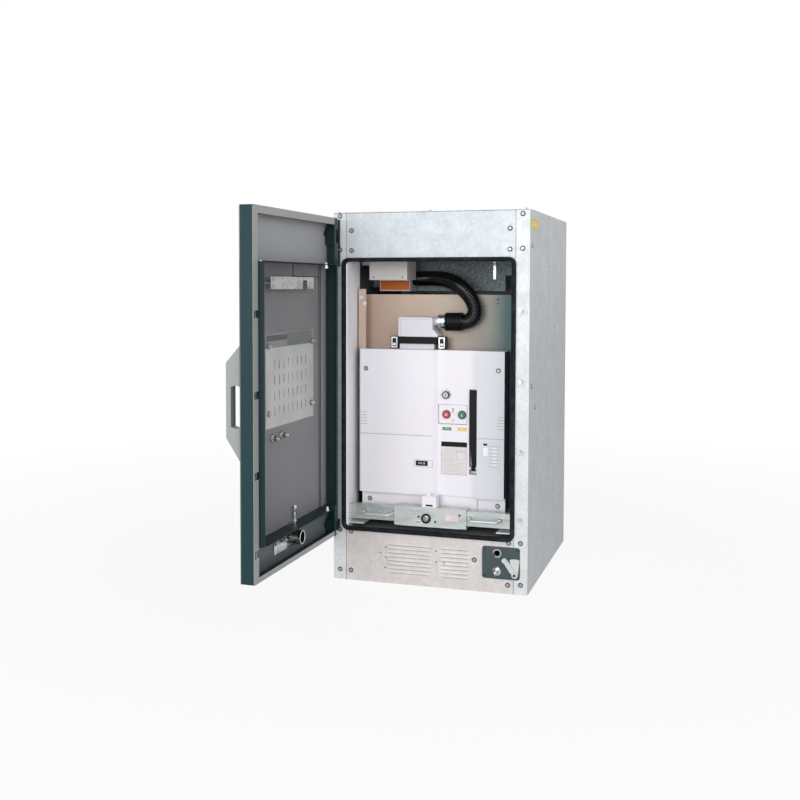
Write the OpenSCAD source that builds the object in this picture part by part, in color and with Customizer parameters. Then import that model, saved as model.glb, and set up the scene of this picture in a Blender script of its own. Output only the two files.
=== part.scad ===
// Withdrawable vacuum circuit breaker in its metal-clad floor-standing compartment.
// Millimetres, +X right, +Y into the compartment, +Z up. Origin: middle of the base on the floor.
// The door stands open at a right angle, as modelled.

/* [Compartment] */
// Overall width
cab_w = 600; // [570:1:720]
// Overall depth
cab_d = 700; // [690:1:820]
// Overall height
cab_h = 1120; // [1090:1:1350]
// Sheet steel thickness of the outer panels
sheet = 2; // [1.5:0.5:3]
// Width of the folded front flange of each side panel
post_w = 41; // [36:1:60]
// Width of the folded rear flange of each side panel
rear_flange = 36; // [20:1:60]
// Thickness of the inner side walls
wall_t = 3; // [2:0.5:4]
// Height of the lower edge of the breaker opening
sill_h = 160; // [150:1:180]
// Height of the upper edge of the breaker opening
lintel_h = 978; // [960:1:1010]

/* [Gasket] */
// Width of the door gasket
gasket_w = 12; // [8:1:12]
// Thickness of the door gasket
gasket_t = 14; // [10:1:15]
// How far the gasket reaches over the edge of the opening
gasket_lap = 7; // [3:1:9]

/* [Door] */
// Door thickness from outer skin to inner flange
door_t = 37; // [32:1:38]
// Height of the door's lower edge
door_low = 149; // [140:1:152]
// Height of the door's upper edge
door_high = 1100; // [1010:1:1110]
// Gap between the closed door's inner flange and the front plane
door_gap = 20; // [19:1:24]
// Width of the inner flange at the free edge
free_flange = 30; // [26:1:31]
// Height of the standing inner frame above the inner flange
frame_lip = 13; // [8:1:13]

/* [Breaker] */
// Width of the breaker's front cover
cover_w = 455; // [440:1:470]
// Sideways offset of the breaker from the middle
brk_off = -7.5; // [-10:0.5:0]
// Distance from the front plane back to the control panel face
cover_set = 60; // [56:1:70]
// Depth of the front cover
cover_d = 30; // [24:1:34]
// Height of the cover's lower edge
cover_low = 266; // [256:1:276]
// Height of the cover's upper edge
cover_high = 706; // [690:1:720]
// How far the left and right cover halves stand proud of the control panel
cover_step = 12; // [6:1:16]
// Phase to phase distance
pole_pitch = 150; // [145:1:160]
// Racking travel from disconnected to connected
rack_travel = 200; // [200:1:210]
// Push button radius
button_r = 11; // [9:0.5:13]

/* [Guides] */
// Height of the running surface of the guide rails
rail_top = 177.7; // [170:0.1:185]
// Truck wheel radius
wheel_r = 12; // [10:0.5:14]

/* [Hidden] */
$fn = 48;
eps = 0.01;
near = 0.3;

// Compartment planes
x_right = cab_w / 2;
x_left = -x_right;
y_front = -cab_d / 2;
y_rear = cab_d / 2;
wall_x = x_right - post_w;
open_x = wall_x - wall_t;
roof_z = cab_h - sheet;
base_t = 3;

// Door placing: the hinge line stands in front of the left post
pin_x = x_left + 6;
pin_y = y_front - 42;
pin_r = 3;
pin_fit = 0.06;
door_open = 90;
door_in = 42 - door_gap;
door_out = door_in - door_t;
door_w0 = x_left + 2 - pin_x;
door_w1 = x_right - 2 - pin_x;
skin_in = door_out + sheet;
knuckle_r = min(pin_r + 4, -skin_in - near);
hinge_zs = [door_low + 6, door_high - 68];
hinge_h = 30;

// Keepers on the right post and the matching places on the door
keeper_x = x_right - 21;
keeper_zs = [224, 422, 625, 828];
keeper_u = keeper_x - pin_x;
keeper_neck = 3;
keeper_head = 5.5;
keeper_len = 34;
latch_travel = 14;

// Breaker places
brk_x0 = brk_off - cover_w / 2;
brk_x1 = brk_off + cover_w / 2;
panel_y = y_front + cover_set;
cover_back = panel_y + cover_d;
bulk_y = panel_y + 90;
pole_y = panel_y + 180;
arm_zs = [330, 600];
arm_tip = 40;
stem_r = 16;

// A block between two corners
module slab(x, y, z) {
    translate([x[0], y[0], z[0]]) cube([x[1] - x[0], y[1] - y[0], z[1] - z[0]]);
}

// A round bar along Y
module bar_y(r, y0, y1) {
    translate([0, y0, 0]) rotate([-90, 0, 0]) cylinder(r = r, h = y1 - y0);
}

// A round bar along X
module bar_x(r, x0, x1) {
    translate([x0, 0, 0]) rotate([0, 90, 0]) cylinder(r = r, h = x1 - x0);
}

// A turned piece along X from a profile of [radius, x] points
module turned_x(profile) {
    rotate([0, 90, 0]) rotate_extrude() polygon(profile);
}

// A flat plate in the XZ plane with rounded corners
module plate_xz(x, z, y, r) {
    translate([0, y[1], 0]) rotate([90, 0, 0]) linear_extrude(y[1] - y[0])
        translate([x[0] + r, z[0] + r]) rounded_rect(x[1] - x[0], z[1] - z[0], r);
}

// Rounded rectangle, its corner centres starting at the origin
module rounded_rect(w, h, r) {
    hull() for (i = [0, 1], j = [0, 1])
        translate([i * (w - 2 * r), j * (h - 2 * r)]) circle(r = r, $fn = 32);
}

// Places children given in the closed door's own frame at the open door
module on_door() {
    translate([pin_x, pin_y, 0]) rotate([0, 0, -door_open]) children();
}

// ---------------------------------------------------------------- compartment

slot_ys = [198, 363, 515];
slot_zs = [for (i = [0:6]) 275 + i * 110];
slot_len = 55;
slot_w = 6;

// Folded side panel with front and rear flanges and three columns of slots
module side_panel(s) {
    difference() {
        linear_extrude(roof_z) scale_x(s) polygon([
            [-x_right, y_front], [-wall_x, y_front], [-wall_x, y_front + sheet],
            [-x_right + sheet, y_front + sheet], [-x_right + sheet, y_rear - sheet],
            [-x_right + rear_flange, y_rear - sheet], [-x_right + rear_flange, y_rear],
            [-x_right, y_rear]]);
        for (y = slot_ys, z = slot_zs)
            slab(s > 0 ? [x_right - sheet - 1, x_right + 1] : [x_left - 1, x_left + sheet + 1],
                 [y_front + y - slot_w / 2, y_front + y + slot_w / 2], [z, z + slot_len]);
    }
}

module scale_x(s) {
    if (s > 0) mirror([1, 0]) children();
    else children();
}

module left_side_panel() {
    color("gainsboro") side_panel(-1);
}

module right_side_panel() {
    color("gainsboro") side_panel(1);
}

module top_front_panel() {
    color("gainsboro") {
        slab([-wall_x, wall_x], [y_front, y_front + sheet], [lintel_h, roof_z]);
        slab([-wall_x, wall_x], [y_front + sheet, y_front + 30], [lintel_h, lintel_h + sheet]);
    }
}

louvre_banks = [[-127, 11], [39, 127]];
louvre_z0 = 34;
louvre_pitch = 12;
louvre_n = 8;

louvre_out = 1.5;
louvre_gap = 1.5;

// One shallow pressed louvre, open below
module louvre(x0, x1, z) {
    translate([x0, y_front, z]) rotate([90, 0, 90]) linear_extrude(x1 - x0)
        polygon([[0, 0], [-louvre_out, 0], [-louvre_out, 0.6], [0, 5]]);
}

module base_front_panel() {
    color("gainsboro") {
        difference() {
            slab([-wall_x, wall_x], [y_front, y_front + sheet], [0, sill_h]);
            for (b = louvre_banks, i = [0:louvre_n - 1])
                slab([b[0] + 2, b[1] - 2], [y_front - 1, y_front + sheet + 1],
                     [louvre_z0 + i * louvre_pitch - louvre_gap, louvre_z0 + i * louvre_pitch]);
            translate([es_hole_x, 0, es_hole_z]) bar_y(es_hole_r, y_front - 1, y_front + sheet + 1);
        }
        for (b = louvre_banks, i = [0:louvre_n - 1])
            louvre(b[0], b[1], louvre_z0 + i * louvre_pitch);
    }
}

module roof_panel() {
    color("gainsboro") slab([x_left, x_right], [y_front, y_rear], [roof_z, cab_h]);
}

anchor_x = 250;
anchor_y = 300;
anchor_r = 7;

module base_plate() {
    color("gainsboro") difference() {
        slab([x_left + sheet, x_right - sheet], [y_front + sheet, y_rear - sheet], [0, base_t]);
        for (i = [-1, 1], j = [-1, 1])
            translate([i * anchor_x, j * anchor_y, -1]) cylinder(r = anchor_r, h = base_t + 2);
    }
}

module compartment_floor() {
    color("silver") slab([-open_x, open_x], [y_front + sheet, spout_plate_y], [sill_h - base_t, sill_h]);
}

spout_plate_y = 200;
spout_plate_t = 3;
spout_r = 60;
spout_bore = 45;
spout_mouth = 150;
spout_flange_r = min(spout_r + 12, open_x - near - pole_pitch - abs(brk_off));
spout_floor = arm_tip + rack_travel + 15;
spout_end = spout_floor + 30;
shed_out = 7;

module inner_wall(s) {
    slab(s > 0 ? [open_x, wall_x] : [-wall_x, -open_x], [y_front + sheet, spout_plate_y],
         [sill_h - base_t, lintel_h]);
}

module left_inner_wall() {
    color("whitesmoke") inner_wall(-1);
}

module right_inner_wall() {
    color("whitesmoke") inner_wall(1);
}

// Repeats its child at the six spout axes
module at_spouts() {
    for (i = [-1:1], z = arm_zs) translate([brk_off + i * pole_pitch, 0, z]) children();
}

module spout_plate() {
    color("silver") difference() {
        slab([x_left + sheet, x_right - sheet], [spout_plate_y, spout_plate_y + spout_plate_t],
             [base_t, roof_z]);
        at_spouts() bar_y(spout_r, spout_plate_y - 1, spout_plate_y + spout_plate_t + 1);
    }
}

// One rib round the outside of a bushing, its root at y
function shed(y) = [
    [spout_r, y], [spout_r + shed_out, y + 4], [spout_r + shed_out, y + 7], [spout_r, y + 8]];

module spout_bushings() {
    color("sienna") at_spouts() rotate([-90, 0, 0]) rotate_extrude() polygon(concat(
        [[spout_bore, spout_mouth + 4], [spout_bore + 4, spout_mouth], [spout_r, spout_mouth],
         [spout_r, spout_plate_y - 12], [spout_flange_r, spout_plate_y - 12],
         [spout_flange_r, spout_plate_y], [spout_r, spout_plate_y]],
        shed(spout_plate_y + 14), shed(spout_plate_y + 34),
        [[spout_r, spout_end - 20], [spout_r - 16, spout_end], [stem_r + pin_fit, spout_end],
         [stem_r + pin_fit, spout_floor], [spout_bore, spout_floor]]));
}

terminal_len = 55;
stem_len = 40;

// Fixed contact stem in the middle of each bushing and its flat terminal behind
module busbar_terminals() {
    color("peru") at_spouts() difference() {
        union() {
            bar_y(stem_r - 3, spout_floor - stem_len, spout_floor - stem_len + 4);
            bar_y(stem_r, spout_floor - stem_len + 4, spout_end);
            slab([-20, 20], [spout_end, spout_end + terminal_len], [-5, 5]);
        }
        for (y = [18, 40]) translate([0, spout_end + y, -6]) cylinder(r = 6.5, h = 12);
    }
}

gasket_x = [open_x - gasket_lap, open_x - gasket_lap + gasket_w];

module door_gasket() {
    gz0 = sill_h + gasket_lap;
    gz1 = lintel_h - gasket_lap;
    color("dimgray") difference() {
        plate_xz([-gasket_x[1], gasket_x[1]], [gz0 - gasket_w, gz1 + gasket_w],
                 [y_front - gasket_t, y_front], 22);
        plate_xz([-gasket_x[0], gasket_x[0]], [gz0, gz1], [y_front - gasket_t - 1, y_front + 1], 10);
    }
}

box_x = [-219, -97];
box_y = [y_front + 100, y_front + 196];
box_z = 917;
barrier_y = y_front + 250;
barrier_z = 883;
gland_x = -112;
barrier_notch_x = -open_x + 36;
barrier_notch_z = barrier_z + 12;
hook_slot_x = [178, 197];

// Wiring box under the lintel; the hose leaves the narrower housing behind it
module wiring_box() {
    color("gainsboro") {
        slab(box_x, box_y, [box_z, lintel_h]);
        slab([-open_x, box_x[0]], [box_y[0] + 40, box_y[1]], [lintel_h - 14, lintel_h]);
        slab([box_x[0], gland_x], [box_y[1], barrier_y], [box_z, lintel_h]);
        slab([box_x[0] + 8, gland_x], [box_y[1] - 16, barrier_y], [barrier_z, box_z]);
    }
}

// Plate across the top of the breaker's space, cut out for the folded edge that passes below it
module upper_barrier() {
    color("silver") {
        difference() {
            union() {
                slab([-open_x, open_x], [barrier_y, barrier_y + sheet], [barrier_z, lintel_h]);
                slab([-open_x, open_x], [barrier_y + sheet, barrier_y + 22],
                     [barrier_z, barrier_z + sheet]);
            }
            slab([-open_x - 1, barrier_notch_x], [barrier_y - 1, barrier_y + 23],
                 [barrier_z - 1, barrier_notch_z]);
            slab(hook_slot_x, [barrier_y - 1, barrier_y + 23], [barrier_z - 1, barrier_z + 49]);
        }
        slab([139, 149], [barrier_y - 2, barrier_y], [box_z + 2, lintel_h - 4]);
    }
}

// ---------------------------------------------------------------- control hose

hose_r = 23;
hose_pts = [
    [-112, -128, 922], [-99, -128, 922], [-81, -130, 922], [-55, -137, 923], [-25, -153, 922],
    [7, -175, 918], [37, -197, 909], [63, -218, 896], [86, -230, 878], [103, -235, 856],
    [112, -237, 833], [110, -237, 810], [98, -236, 796], [84, -235, 790], [75, -235, 790]
];

function unit3(v) = v / norm(v);
// Direction of the route at point i
function heading(p, i) =
    i == 0 ? unit3(p[1] - p[0]) :
    i == len(p) - 1 ? unit3(p[i] - p[i - 1]) : unit3(p[i + 1] - p[i - 1]);
// Ring of n points round point i, square to the route
function ring(p, i, r, n) =
    let (t = heading(p, i), a = unit3(cross([0, 1, 0], t)), b = cross(t, a))
    [for (k = [0:n - 1]) p[i] + r * (a * cos(360 * k / n) + b * sin(360 * k / n))];

module tube(p, r, n) {
    m = len(p);
    points = [for (i = [0:m - 1]) each ring(p, i, r, n)];
    sides = [for (i = [0:m - 2], k = [0:n - 1])
        [i * n + k, i * n + (k + 1) % n, (i + 1) * n + (k + 1) % n, (i + 1) * n + k]];
    start = [[for (k = [0:n - 1]) n - 1 - k]];
    finish = [[for (k = [0:n - 1]) (m - 1) * n + k]];
    polyhedron(points = points, faces = concat(start, sides, finish), convexity = 6);
}

module hose() {
    color("black") tube(hose_pts, hose_r, 12);
}

// ---------------------------------------------------------------- guides and front beam

rail_w = 51;
rail_t = 3;

module guide_rail(s) {
    slab(s > 0 ? [open_x - rail_w, open_x] : [-open_x, -open_x + rail_w],
         [y_front + 6, spout_mouth], [rail_top - rail_t, rail_top]);
    slab(s > 0 ? [open_x - rail_t, open_x] : [-open_x, -open_x + rail_t],
         [y_front + 6, spout_mouth], [sill_h, rail_top - rail_t]);
}

module left_guide_rail() {
    color("silver") guide_rail(-1);
}

module right_guide_rail() {
    color("silver") guide_rail(1);
}

beam_y = [y_front + 16, y_front + 40];
beam_z = [188, 232];
beam_box_x = [-108, 115];
beam_box_y = [y_front + 8, y_front + 44];
beam_box_z = [179, 237];
socket_x = -8;
socket_z = 204;
socket_r = 8;
grip_r = 4;
grip_out = 40;
grip_half = 45.5;
grip_xs = [-158, 170];
grip_z = 212;
grip_bend = 12;
grip_well = 6;

// Repeats its child at the four feet of the two grips
module at_grip_feet() {
    for (x = grip_xs, s = [-1, 1]) translate([x + s * grip_half, 0, grip_z]) children();
}

module cross_beam() {
    color("silver") difference() {
        union() {
            slab([-open_x, open_x], beam_y, beam_z);
            slab(beam_box_x, beam_box_y, beam_box_z);
            slab([beam_box_x[0] + 6, beam_box_x[1] - 18], [beam_box_y[0] - 4, beam_box_y[0]],
                 [beam_box_z[0], beam_box_z[0] + sheet]);
            translate([socket_x, 0, socket_z]) bar_y(socket_r + 4, beam_box_y[0] - 3, beam_box_y[0] + 5);
        }
        translate([socket_x, 0, socket_z]) bar_y(socket_r, beam_box_y[0] - 4, beam_box_y[0] + 24);
        at_grip_feet() bar_y(grip_r + 2, beam_y[0] - 1, beam_y[0] + grip_well);
    }
}

// A bent round bar whose two ends stand in wells in the beam
module beam_grip(x) {
    y = beam_y[0] - grip_out;
    translate([x, y, grip_z]) {
        bar_x(grip_r, -grip_half + grip_bend, grip_half - grip_bend);
        for (s = [0, 1]) mirror([s, 0, 0]) {
            translate([grip_half - grip_bend, grip_bend, 0]) rotate([0, 0, -90])
                rotate_extrude(angle = 90) translate([grip_bend, 0]) circle(r = grip_r, $fn = 32);
            translate([grip_half, 0, 0]) bar_y(grip_r, grip_bend, grip_out + grip_well);
        }
    }
}

module beam_handles() {
    color("silver") for (x = grip_xs) beam_grip(x);
}

module position_switch_box() {
    color("white") slab([-22, 22], [y_front + 12, y_front + 42], [beam_box_z[1], 270]);
}

// ---------------------------------------------------------------- front fittings

module door_keepers() {
    color("silver") for (z = keeper_zs) translate([keeper_x, 0, z]) {
        bar_y(keeper_neck, y_front - keeper_len + 4, y_front);
        bar_y(keeper_head, y_front - keeper_len, y_front - keeper_len + 4);
    }
}

leaf_t = 4;
hinge_plates = [[door_low + 1, door_low + 37], [lintel_h - 21, door_high - 2]];

// Hinge brackets on the left post with their pins; the lower half of each hinge
module hinge_brackets() {
    color("dimgray") {
        for (z = hinge_zs) translate([pin_x, pin_y, z]) {
            cylinder(r = knuckle_r, h = hinge_h / 2 - near);
            cylinder(r = pin_r, h = hinge_h);
            translate([-leaf_t / 2, 0, 0]) cube([leaf_t, y_front - sheet - pin_y, hinge_h / 2 - near]);
        }
        for (z = hinge_plates) slab([x_left, x_left + 21], [y_front - sheet, y_front], z);
    }
}

es_x = [x_right - 134, x_right - 22];
es_z = [43, 138];
es_t = 2.5;
es_hole_x = x_right - 89;
es_hole_z = 119;
es_hole_r = 9;
lock_z = 67;
lever_x = x_right - 37;
lever_z = 58;
lever_pin_r = 4;
lever_len = 52;
lever_lean = 34;
fan_t = 2;
fan_r = 47;

module earthing_plate() {
    color("dimgray") difference() {
        union() {
            plate_xz(es_x, es_z, [y_front - es_t, y_front], 8);
            translate([lever_x, 0, lever_z])
                bar_y(lever_pin_r, y_front - es_t - fan_t - 8, y_front - es_t + eps);
        }
        translate([es_hole_x, 0, es_hole_z]) bar_y(es_hole_r, y_front - es_t - 1, y_front + 1);
    }
}

// Ring round the operating hole and the key lock's barrel
module earthing_lock() {
    color("silver") {
        translate([es_hole_x, 0, es_hole_z]) difference() {
            bar_y(es_hole_r + 4, y_front - es_t - 3, y_front - es_t);
            bar_y(es_hole_r, y_front - es_t - 4, y_front - es_t + 1);
        }
        translate([es_hole_x, 0, lock_z]) {
            bar_y(13, y_front - es_t - 5, y_front - es_t);
            bar_y(8, y_front - es_t - 11, y_front - es_t - 5);
        }
    }
}

// Fixed fan-shaped plate behind the lever, from its pivot
module lever_guide() {
    color("lightgray") translate([lever_x, y_front - es_t, lever_z]) rotate([90, 0, 0])
        linear_extrude(fan_t) difference() {
            polygon(concat([[-9, -4], [9, -4]],
                           [for (a = [18:-6:-18]) fan_r * [sin(a), cos(a)]]));
            circle(r = lever_pin_r + pin_fit);
        }
}

module shutter_lever() {
    lever_y = y_front - es_t - fan_t - near;
    color("lightgray") translate([lever_x, 0, lever_z]) difference() {
        rotate([0, -lever_lean, 0]) union() {
            bar_y(9, lever_y - 4, lever_y);
            translate([0, lever_y, 0]) rotate([90, 0, 0]) linear_extrude(4)
                polygon([[-5, 0], [5, 0], [7, 16], [7, lever_len], [-7, lever_len], [-7, 16]]);
            translate([0, 0, lever_len]) bar_y(7, lever_y - 12, lever_y);
        }
        bar_y(lever_pin_r + pin_fit, lever_y - 6, lever_y + 1);
    }
}

// ---------------------------------------------------------------- breaker

truck_z = [194, 222];
truck_x = open_x - 24;
truck_y = [panel_y + 12, panel_y + 290];
wheel_ys = [panel_y + 45, panel_y + 245];
axle_z = rail_top + near + wheel_r;

module breaker_truck() {
    color("silver") difference() {
        slab([-truck_x, truck_x], truck_y, truck_z);
        slab([-truck_x + 3, truck_x - 3], [truck_y[0] + 3, truck_y[1] - 3],
             [truck_z[0] - 1, truck_z[1] - 3]);
    }
}

module truck_wheels() {
    color("dimgray") for (s = [-1, 1], y = wheel_ys) translate([0, y, axle_z])
        bar_x(wheel_r, s > 0 ? truck_x : -truck_x - 10, s > 0 ? truck_x + 10 : -truck_x);
}

bulk_x = [-open_x + 6, open_x - 16];
bulk_z = 872;
fold_d = 62;
fold_z = bulk_z + 17;

// Barrier plate behind the mechanism, its left edge folded forwards round the side of the breaker
module bulkhead_plate() {
    color("tan") {
        difference() {
            slab(bulk_x, [bulk_y, bulk_y + sheet], [truck_z[1], bulk_z]);
            for (z = [14, 26]) translate([176, 0, bulk_z - z]) bar_y(2.5, bulk_y - 1, bulk_y + sheet + 1);
        }
        slab([bulk_x[0], bulk_x[0] + sheet], [bulk_y - fold_d, bulk_y], [truck_z[1], fold_z]);
        slab([bulk_x[0] + sheet, bulk_x[0] + 24], [bulk_y - fold_d, bulk_y - fold_d + sheet],
             [cover_high, fold_z]);
    }
}

module mechanism_housing() {
    color("whitesmoke") slab([brk_x0 + 8, brk_x1 - 8], [cover_back, bulk_y], [truck_z[1], cover_high - 4]);
}

left_x = 2;
ridge_w = 12;
side_x0 = 137;
seam_z = 442;
seam_w = 2;

module cover_profile() {
    polygon([
        [brk_x0, cover_back], [brk_x0, panel_y - cover_step + 6], [brk_x0 + 6, panel_y - cover_step],
        [left_x, panel_y - cover_step], [left_x + ridge_w, panel_y], [side_x0, panel_y],
        [side_x0, panel_y + 12], [brk_x1, panel_y + 12], [brk_x1, cover_back]]);
}

handle_x = [112, 134];
handle_slot_z = [334, 590];

module front_cover() {
    color("white") difference() {
        union() {
            translate([0, 0, cover_low]) linear_extrude(cover_high - cover_low) cover_profile();
            slab([brk_x0 + 5, brk_x1], [panel_y + 6, cover_back], [truck_z[1], cover_low]);
        }
        slab([handle_x[0] - 2, side_x0], [panel_y - 1, cover_back - 4], handle_slot_z);
        slab([brk_x0 - 1, left_x + 1], [panel_y - cover_step - 1, panel_y - cover_step + 1.5],
             [seam_z, seam_z + seam_w]);
        for (b = button_xs) translate([b, 0, button_z])
            bar_y(button_r + 1, panel_y - 1, panel_y + well_d);
    }
    color("white") translate([0, pivot_y, pivot_z]) bar_x(pivot_r, handle_x[0] - 2, side_x0);
}

module side_cover() {
    face = panel_y - cover_step - 4;
    color("white") difference() {
        plate_xz([side_x0, brk_x1], [cover_low, cover_high], [face, panel_y + 12], 3);
        slab([side_x0 - 1, brk_x1 + 1], [face - 1, face + 1.5], [seam_z, seam_z + seam_w]);
    }
}

button_xs = [41, 89];
button_z = 513;
button_plate_x = [16, 104];
button_plate_z = [484, 543];
button_proud = 7;
button_travel = 4;
button_back = 9;
well_d = button_back + button_travel + 1;

module button_plate() {
    color("white") difference() {
        slab(button_plate_x, [panel_y - 3, panel_y], button_plate_z);
        for (b = button_xs) translate([b, 0, button_z])
            bar_y(button_r + 1, panel_y - 4, panel_y + 1);
    }
}

module push_button(x) {
    translate([x, 0, button_z]) bar_y(button_r, panel_y - 3 - button_proud, panel_y + button_back);
}

module off_button() {
    color("red") push_button(button_xs[0]);
}

module on_button() {
    color("green") push_button(button_xs[1]);
}

module key_lock() {
    color("silver") translate([39, 0, 572]) {
        bar_y(14, panel_y - 4, panel_y);
        bar_y(9, panel_y - 9, panel_y - 4);
    }
}

module operation_counter() {
    color("black") slab([-52, -15], [panel_y - cover_step - 1, panel_y - cover_step], [355, 370]);
}

pivot_y = panel_y + 7;
pivot_z = 352;
pivot_r = 4;
lever_top = 586;
taper_z = 430;

module charging_handle() {
    hx = (handle_x[0] + handle_x[1]) / 2;
    color("black") difference() {
        union() {
            translate([0, panel_y + 14, 0]) rotate([90, 0, 0]) linear_extrude(20) polygon([
                [hx - 3, pivot_z + 14], [handle_x[1] - 1, pivot_z + 14], [handle_x[1] - 1, lever_top],
                [handle_x[0] + 1, lever_top], [handle_x[0] + 1, taper_z]]);
            slab([hx - 6, hx + 6], [panel_y + 2, panel_y + 12], [pivot_z, pivot_z + 14]);
            translate([0, pivot_y, pivot_z]) bar_x(8, hx - 6, hx + 6);
        }
        translate([0, pivot_y, pivot_z]) bar_x(pivot_r + pin_fit, hx - 7, hx + 7);
    }
}

plug_y = [panel_y + 25, panel_y + 85];
plug_x = [-120, -12];
plug_z = [744, 803];
plug_base_z = 722;
plug_axis_y = -235;
plug_axis_z = 790;
neck_x = 1;
ring_x = 24;
cuff_x = 75;
cuff_r = 28;

module on_plug_axis() {
    translate([0, plug_axis_y, plug_axis_z]) children();
}

// The plug's moulded shell with its slanted lower right end and round neck, and the socket base
module plug_housing() {
    color("white") {
        slab([plug_x[0] + 2, plug_x[1] + 3], [panel_y + 34, bulk_y - 2], [cover_high - 4, plug_base_z]);
        translate([0, plug_y[1], 0]) rotate([90, 0, 0]) linear_extrude(plug_y[1] - plug_y[0]) polygon([
            [plug_x[0], plug_z[0]], [4, plug_z[0]], [4, plug_z[0] + 8],
            [plug_x[1], plug_z[0] + 24], [plug_x[1], plug_z[1] - 4], [plug_x[1] - 4, plug_z[1]],
            [plug_x[0] + 4, plug_z[1]], [plug_x[0], plug_z[1] - 4]]);
        on_plug_axis() bar_x(12, plug_x[1], neck_x);
    }
}

// Black locking strip between plug and base, with a bracket at each end
module plug_latch() {
    color("black") {
        slab([plug_x[0] - 4, 0], [plug_y[0] + 3, plug_y[1] - 3], [plug_base_z, plug_z[0]]);
        slab([-149, plug_x[0] - 4], [plug_y[0] + 14, plug_y[0] + 34], [cover_high, plug_z[0]]);
        slab([0, 27], [plug_y[0] + 14, plug_y[0] + 34], [cover_high, plug_z[0]]);
    }
}

// Plated union nut with a turned groove
module hose_coupling() {
    color("silver") on_plug_axis() turned_x([
        [0, neck_x], [22, neck_x], [22, neck_x + 9], [20.5, neck_x + 10], [20.5, neck_x + 12],
        [22, neck_x + 13], [22, ring_x], [0, ring_x]]);
}

cuff_lip = 6;
cuff_ribs = 5;
cuff_step = (cuff_x - ring_x - cuff_lip) / cuff_ribs;

// One groove of the cuff and the rib after it, from x to x + cuff_step
function cuff_rib(x) = [
    [cuff_r - 3, x + 1], [cuff_r - 3, x + 3], [cuff_r, x + 4], [cuff_r, x + cuff_step]];

// Ribbed rubber cuff over the end of the hose
module hose_cuff() {
    x0 = ring_x + cuff_lip;
    color("black") on_plug_axis() turned_x(concat(
        [[0, ring_x], [cuff_r, ring_x], [cuff_r, x0]],
        [for (i = [0:cuff_ribs - 1]) each cuff_rib(x0 + i * cuff_step)],
        [[0, cuff_x]]));
}

pole_z = [truck_z[1], 680];
pole_r = 44;
pole_foot_r = 54;
pole_boss_r = 27;
pole_boss_y = 64;
shed_n = 5;

// One cast resin pole: foot, body with sheds between its two arms and a domed head
module pole_units() {
    mid = (arm_zs[0] + arm_zs[1]) / 2;
    color("sienna") for (i = [-1:1]) translate([brk_off + i * pole_pitch, pole_y, 0]) {
        rotate_extrude() polygon(concat(
            [[0, pole_z[0]], [pole_foot_r, pole_z[0]], [pole_foot_r, pole_z[0] + 12],
             [pole_r, pole_z[0] + 26]],
            [for (k = [0:shed_n - 1]) let (z = mid + (k - (shed_n - 1) / 2) * 26)
                each [[pole_r, z - 6], [pole_r + 9, z - 2], [pole_r + 9, z + 1], [pole_r, z + 3]]],
            [[pole_r, pole_z[1] - 24], [pole_r - 7, pole_z[1] - 7], [pole_r - 24, pole_z[1]],
             [0, pole_z[1]]]));
        for (z = arm_zs) translate([0, 0, z]) bar_y(pole_boss_r, 0, pole_boss_y);
    }
}

arm_r = 16;
tulip_r = 30;
tulip_len = 50;
tulip_bore = stem_r + near;
finger_gap = 2;

// Contact arms with their tulips: rings of sprung fingers that close round the fixed stems
module contact_arms() {
    root = arm_tip - tulip_len;
    color("silver") at_spouts() difference() {
        rotate([-90, 0, 0]) rotate_extrude() polygon([
            [0, pole_y + pole_boss_y], [arm_r, pole_y + pole_boss_y], [arm_r, root],
            [tulip_r - 5, root], [tulip_r - 2, root + 4], [tulip_r - 2, root + 12],
            [tulip_r - 6, root + 14], [tulip_r - 6, root + 20], [tulip_r - 2, root + 22],
            [tulip_r, arm_tip - 14], [tulip_r - 4, arm_tip - 12], [tulip_r - 4, arm_tip - 7],
            [tulip_r - 1, arm_tip - 5], [tulip_r - 6, arm_tip], [tulip_bore + 3, arm_tip],
            [tulip_bore, arm_tip - 5], [tulip_bore, root + 10], [0, root + 10]]);
        for (a = [0:45:315]) rotate([0, a, 0])
            slab([tulip_bore + 3, tulip_r + 1], [root + 16, arm_tip + 1],
                 [-finger_gap / 2, finger_gap / 2]);
    }
}

// ---------------------------------------------------------------- door

port_u = socket_x - pin_x;
port_r = 19.5;
port_bore = 16;
port_out = 39;
window_u = [114, 445];
window_z = [521, 774];
frame_u = [8, door_w1 - free_flange];
frame_z = [238, 962];
hinge_flange_u = 23;

// Folded door pan: skin, four walls and an inward flange, cut for hinges, keepers, port and window
module door_pan() {
    color("dimgray") on_door() difference() {
        plate_xz([door_w0, door_w1], [door_low, door_high], [door_out, door_in], 6);
        slab([door_w0 + sheet, door_w1 - sheet], [skin_in, door_in - sheet],
             [door_low + sheet, door_high - sheet]);
        slab([hinge_flange_u, frame_u[1]], [skin_in + 1, door_in + 1], [door_low + 14, door_high - 20]);
        slab([frame_u[0], hinge_flange_u + 1], [skin_in + 1, door_in + 1], frame_z);
        for (z = hinge_zs) slab([door_w0 - 1, knuckle_r + 4], [skin_in, door_in + 1],
                                [z - 5, z + hinge_h + 5]);
        for (z = keeper_zs) slab([keeper_u - 12, keeper_u + 12], [door_in - sheet - 1, door_in + 1],
                                 [z - 9, z + 10]);
        translate([port_u, 0, socket_z]) bar_y(port_bore, door_out - 1, skin_in + 1);
        slab([window_u[0] + 40, window_u[1] - 40], [door_out - 1, skin_in + 1],
             [window_z[0] + 24, window_z[1] - 60]);
        for (z = stud_zs) slab([stud_u - 7, stud_u + 7], [door_out - 1, skin_in + 1],
                               [z - 7, z + 7 + latch_travel]);
    }
}

foot_w = 40;
notch_fit = 5;
notch_swing = 13;

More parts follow.
